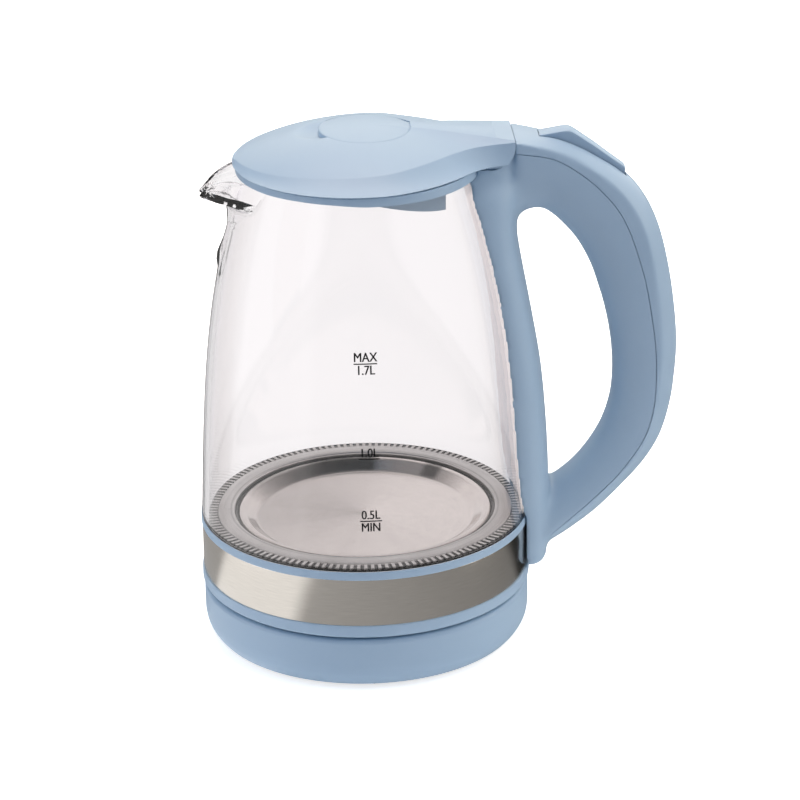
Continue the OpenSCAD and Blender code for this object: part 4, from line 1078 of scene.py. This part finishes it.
# %% Skin of the lid
def lid_rings():
    rings = []
    foot = foot_line
    centre = np.array([2.0, 0.0])
    inner = centre + (foot - centre)*0.975
    rings.append(np.column_stack([inner, np.full(len(foot), LID_Z)]))
    rings.append(np.column_stack([centre + (foot - centre)*0.99, np.full(len(foot), LID_Z + 0.1)]))
    rings.append(np.column_stack([foot, np.full(len(foot), LID_Z + 0.6)]))
    top = EDGE_Z + TILT*edge_line[:, 0]
    for t in (0.15, 0.3, 0.45, 0.6, 0.75, 0.87, 0.95, 1.0):
        p = foot + (edge_line - foot)*t
        z = LID_Z + 0.6 + (top - LID_Z - 0.6)*(t - 0.10*math.sin(math.pi*t))
        rings.append(np.column_stack([p, z]))
    reach = edge_line - lid_centre
    length = np.hypot(reach[:, 0], reach[:, 1])[:, None]
    start = DISC_R + 0.12
    for share in np.concatenate([[0.985, 0.97, 0.95], np.linspace(0.92, 0, 56)]):
        p = lid_centre + reach/length*(start + (length - start)*share)
        s = np.hypot(*(p - lid_centre).T)/length[:, 0]
        z = scooped(p, crown_height(p, s))
        rings.append(np.column_stack([p, z]))
    return rings


skin = lid_rings()
last = skin[-1]
well = [np.column_stack([last[:, :2], np.full(len(last), WELL_Z)])]
lid = loft("lid_cover_shell", skin + well)

# %% Neck and hinge cuts of the lid
neck_round = prism("neck_round", disc_outline(HINGE_X, HINGE_Z, NECK_R, 192), -NECK_HALF, NECK_HALF)
behind = loft("behind", [[(HINGE_X - 5, y, HINGE_Z - 20), (HINGE_X + 25, y, HINGE_Z - 20),
    (HINGE_X + 25, y, HINGE_Z + 0.4),
    (HINGE_X - 5, y, HINGE_Z + 0.4)] for y in (-NECK_HALF, NECK_HALF)])
boolean(neck_round, behind, "INTERSECT")
boolean(lid, neck_round, "UNION")
trim = loft("trim", [[(HINGE_X, y, 200), (HINGE_X + 60, y, 200), (HINGE_X + 60, y, 290),
    (HINGE_X, y, 290)] for y in (-50, 50)])
boolean(trim, prism("inside", disc_outline(HINGE_X, HINGE_Z, NECK_R, 192), -60, 60))
boolean(lid, trim)
for side in (-1, 1):
    low, high = sorted((side*8.9, side*12.5))
    slot_outline = [(HINGE_X, HINGE_Z), (HINGE_X + 0.6, HINGE_Z + 1.2),
        (HINGE_X + 4.9, HINGE_Z + 1.2),
        (HINGE_X + 5.2, HINGE_Z - 0.2), (HINGE_X + 15, HINGE_Z - 0.6), (HINGE_X + 15, HINGE_Z - 15),
        (HINGE_X + 4, HINGE_Z - 18),
        (HINGE_X - 12, HINGE_Z - 15), (HINGE_X - 6, HINGE_Z - 4)]
    boolean(lid, prism("ear_slot", slot_outline, low, high))
    boolean(lid, prism("ear_round", disc_outline(HINGE_X, HINGE_Z, 2.1, 48), low, high))
shade(lid, 34)
seat(lid, blue, "lid", "blue_plastic", "lid_cover")

# %% Finger disc
DISC_STEPS = 160


def disc_ring(r, drop):
    """One ring of the disc's skin; the disc sinks a little at the side of the hinge."""
    a = np.linspace(0, 2*math.pi, DISC_STEPS, endpoint=False)
    p = np.column_stack([DISC_X + r*np.cos(a), r*np.sin(a)])
    d = edge_line - lid_centre
    order = np.argsort(np.arctan2(d[:, 1], d[:, 0]))
    reach = np.interp(a, np.arctan2(d[:, 1], d[:, 0])[order], np.hypot(d[:, 0], d[:, 1])[order],
        period=2*math.pi)
    z = crown_height(p, r/reach) - drop - 0.6*smoothstep(14, 23, p[:, 0] - DISC_X)
    return np.column_stack([p, z])


foot = disc_ring(DISC_R, 4.0)
foot[:, 2] = WELL_Z + 0.1
disc_rings = [foot] + [disc_ring(r, drop) for r,
    drop in [(DISC_R, 0.35), (DISC_R - 0.12, 0.12), (DISC_R - 0.4, 0.0)]
    + [(r, 0.0) for r in np.linspace(DISC_R - 1.4, 0.5, 20)]]
disc = shade(loft("finger_disc", disc_rings), 40)
seat(disc, blue, "lid", "blue_plastic", "lid_disc")

# %% Underside of the lid
SKIRT_R = rim_r - GLASS_T - 2.3
under = revolve("lid_base_skirt", rounded([(0.001, LID_Z), (SKIRT_R - 2.2, LID_Z),
    (SKIRT_R - 2.2, LID_Z - 20), (SKIRT_R, LID_Z - 20),
    (SKIRT_R, LID_Z), (52.2, LID_Z), (52.2, LID_Z + 1.6), (0.001, LID_Z + 1.6)], 0.2, 2)[3:-3], 192)
opening = prism("opening", [(0, 0), (100*math.cos(math.radians(36)),
    100*math.sin(math.radians(36))), (100, 0),
    (100*math.cos(math.radians(36)), -100*math.sin(math.radians(36)))], 180, LID_Z - 0.01, "z")
boolean(under, opening)
slope = math.tan(math.radians(16.2))
floor_cut = loft("floor_cut", [[(x, y, RIM_Z - 1.8 - x*slope) for x,
    y in ((-100, -100), (100, -100), (100, 100), (-100, 100))],
    [(x, y, 150) for x, y in ((-100, -100), (100, -100), (100, 100), (-100, 100))]])
boolean(under, floor_cut)
back_cut = loft("back_cut", [[(HINGE_X - 13, -50, z), (HINGE_X + 47, -50, z), (HINGE_X + 47, 50, z),
    (HINGE_X - 13, 50, z)]
    for z in (LID_Z - 1, LID_Z + 9)])
boolean(under, back_cut)
shade(under, 34)
seat(under, blue, "lid", "blue_plastic", "lid_base")

# %% [markdown]
# ## Studio
# A pale floor takes the soft shadow. Mirrors need something to show, so the room is written
# as one strip of tones round the axis: a white card at the left, a grey front that darkens
# to the right, a black card at the right and behind, and grey elsewhere. The floor and the
# world share it. Glass looks out on plain white. The lamps are warm and the world's light is
# blue, so tops come out warm and sides cool.

# %% The room as mirrors see it
ROOM = [(-180, 0.4), (-104, 0.4), (-98, 1.0), (-43, 1.0), (-34, 0.42), (0, 0.36), (45, 0.28),
    (95, 0.2), (103, 0.02), (165, 0.02), (175, 0.4), (180, 0.4)]


def room_tone(tree, x, y):
    """Brightness of the room by the angle from the front; left is negative."""
    front = node(tree, "ShaderNodeMath", {0: y, 1: -1.0}, operation="MULTIPLY")
    angle = node(tree, "ShaderNodeMath", {0: x, 1: front.outputs[0]}, operation="ARCTAN2")
    share = node(tree, "ShaderNodeMapRange",
        {"Value": angle.outputs[0], "From Min": -math.pi, "From Max": math.pi})
    return tones(tree, share.outputs[0], by_angle(ROOM))


# %% Floor
floor_mesh = bpy.data.meshes.new("studio_floor")
floor_mesh.from_pydata([(-8, -8, 0), (8, -8, 0), (8, 8, 0), (-8, 8, 0)], [], [(0, 1, 2, 3)])
floor = bpy.data.objects.new("studio_floor", floor_mesh)
bpy.context.scene.collection.objects.link(floor)
paper, paper_tree, paper_shader = finish("studio_paper", roughness=0.9)
paper_cloud = two_colours(paper_tree, grain(paper_tree, 3).outputs[0],
    (0.80, 0.80, 0.80, 1), (0.83, 0.83, 0.83, 1))
paper_tree.links.new(paper_cloud, paper_shader.inputs["Base Color"])
rays = node(paper_tree, "ShaderNodeLightPath")
spot = node(paper_tree, "ShaderNodeSeparateXYZ",
    {0: node(paper_tree, "ShaderNodeTexCoord").outputs["Object"]})
mirrored = node(paper_tree, "ShaderNodeEmission",
    {"Color": room_tone(paper_tree, spot.outputs[0], spot.outputs[1])})
plain = node(paper_tree, "ShaderNodeEmission", {"Color": (1, 1, 1, 1)})
reach = node(paper_tree, "ShaderNodeVectorMath",
    {0: node(paper_tree, "ShaderNodeTexCoord").outputs["Object"]}, operation="LENGTH")
# near the kettle the floor glows for other surfaces, a painted bounce light, and its camera glow is
# weaker there, so it is seen a little darker: painted shade round the kettle
near = node(paper_tree, "ShaderNodeMapRange",
    {"Value": reach.outputs[1], "From Min": 0.1, "From Max": 0.42, "To Min": 0.42, "To Max": 0.0})
edge = node(paper_tree, "ShaderNodeMapRange",
    {"Value": reach.outputs[1], "From Min": 0.15, "From Max": 0.6, "To Min": 0.72, "To Max": 1.0})
glow = node(paper_tree, "ShaderNodeEmission", {"Color": (1, 1, 1, 1), "Strength": edge.outputs[0]})
lit = node(paper_tree, "ShaderNodeAddShader", {0: paper_shader.outputs[0], 1: glow.outputs[0]})
painted_bounce_glow = node(paper_tree, "ShaderNodeEmission",
    {"Color": (1, 1, 1, 1), "Strength": near.outputs[0]})
seen = node(paper_tree, "ShaderNodeAddShader",
    {0: paper_shader.outputs[0], 1: painted_bounce_glow.outputs[0]}).outputs[0]
for ray, shader in (("Is Glossy Ray", mirrored), ("Transmission Depth", plain),
    ("Is Camera Ray", lit)):
    seen = node(paper_tree, "ShaderNodeMixShader",
        {0: rays.outputs[ray], 1: seen, 2: shader.outputs[0]}).outputs[0]
paper_tree.links.new(seen, paper_tree.nodes["Material Output"].inputs[0])
floor_mesh.materials.append(paper)

# %% World
world = bpy.data.worlds.new("studio_world")
bpy.context.scene.world = world
world.use_nodes = True
wt = world.node_tree
wt.nodes.clear()
way = node(wt, "ShaderNodeSeparateXYZ", {0: node(wt, "ShaderNodeTexCoord").outputs["Generated"]})
height = node(wt, "ShaderNodeMapRange",
    {"Value": way.outputs[2], "From Min": 0.55, "From Max": 0.8, "To Min": 1.0, "To Max": 0.35})
soft = node(wt, "ShaderNodeBackground", {"Color": (0.25, 0.55, 1.0, 1), "Strength": 0.26})
room = node(wt, "ShaderNodeBackground",
    {"Color": room_tone(wt, way.outputs[0], way.outputs[1]), "Strength": height.outputs[0]})
clear_view = node(wt, "ShaderNodeBackground",
    {"Color": (1, 1, 1, 1), "Strength": height.outputs[0]})
white = node(wt, "ShaderNodeBackground", {"Color": (1, 1, 1, 1), "Strength": 1.0})
rays = node(wt, "ShaderNodeLightPath")
seen = soft.outputs[0]
for ray, shader in (("Is Glossy Ray", room), ("Transmission Depth", clear_view),
    ("Is Camera Ray", white)):
    seen = node(wt, "ShaderNodeMixShader",
        {0: rays.outputs[ray], 1: seen, 2: shader.outputs[0]}).outputs[0]
node(wt, "ShaderNodeOutputWorld", {0: seen})


# %% Lamps
LAMP_AIM = (0, 0, 0.13)


def lamp(name, where, size, watts, colour):
    """A soft area lamp that looks at the middle of the kettle."""
    data = bpy.data.lights.new(name, "AREA")
    data.shape, data.size, data.size_y = "RECTANGLE", size[0], size[1]
    data.energy, data.color = watts, colour
    obj = bpy.data.objects.new(name, data)
    bpy.context.scene.collection.objects.link(obj)
    z = np.array(where, float) - np.array(LAMP_AIM, float)
    z /= np.linalg.norm(z)
    x = np.cross((0, 0, 1), z) if abs(z[2]) < 0.99 else np.array([1.0, 0, 0])
    x /= np.linalg.norm(x)
    y = np.cross(z, x)
    m = np.eye(4)
    m[:3, 0], m[:3, 1], m[:3, 2], m[:3, 3] = x, y, z, where
    obj.matrix_world = Matrix(m.tolist())
    return obj


lamps = [lamp("soft_top", (0, 0.2, 1.7), (1.2, 1.2), 24, (1.0, 0.85, 0.74)),
    lamp("soft_back", (0, 1.5, 1.2), (1.6, 1.0), 9, (1.0, 0.85, 0.6)),
    lamp("back_right", (1.5, 1.2, 0.9), (1.2, 1.0), 9.5, (1.0, 0.93, 0.82)),
    lamp("soft_left", (-1.7, -0.1, 0.6), (1.2, 1.0), 9.5, (1.0, 0.94, 0.9)),
    lamp("top_front", (0.7, -0.9, 1.4), (1.0, 1.0), 5, (1.0, 0.92, 0.84)),
    lamp("soft_right", (1.7, -0.2, 0.6), (1.2, 1.0), 10, (1.0, 0.92, 0.8))]

# %% Glass, plate and ring are left out of the lamps' light
# otherwise the lamps stand in the glass as white shapes
plain_mirrors = bpy.data.collections.new("not_lit_by_lamps")
for obj in (glass, plate_obj, ring, ribs):
    plain_mirrors.objects.link(obj)
for link in plain_mirrors.collection_objects:
    link.light_linking.link_state = "EXCLUDE"
for each in lamps:
    each.light_linking.receiver_collection = plain_mirrors
bpy.context.scene.view_settings.view_transform = "Standard"
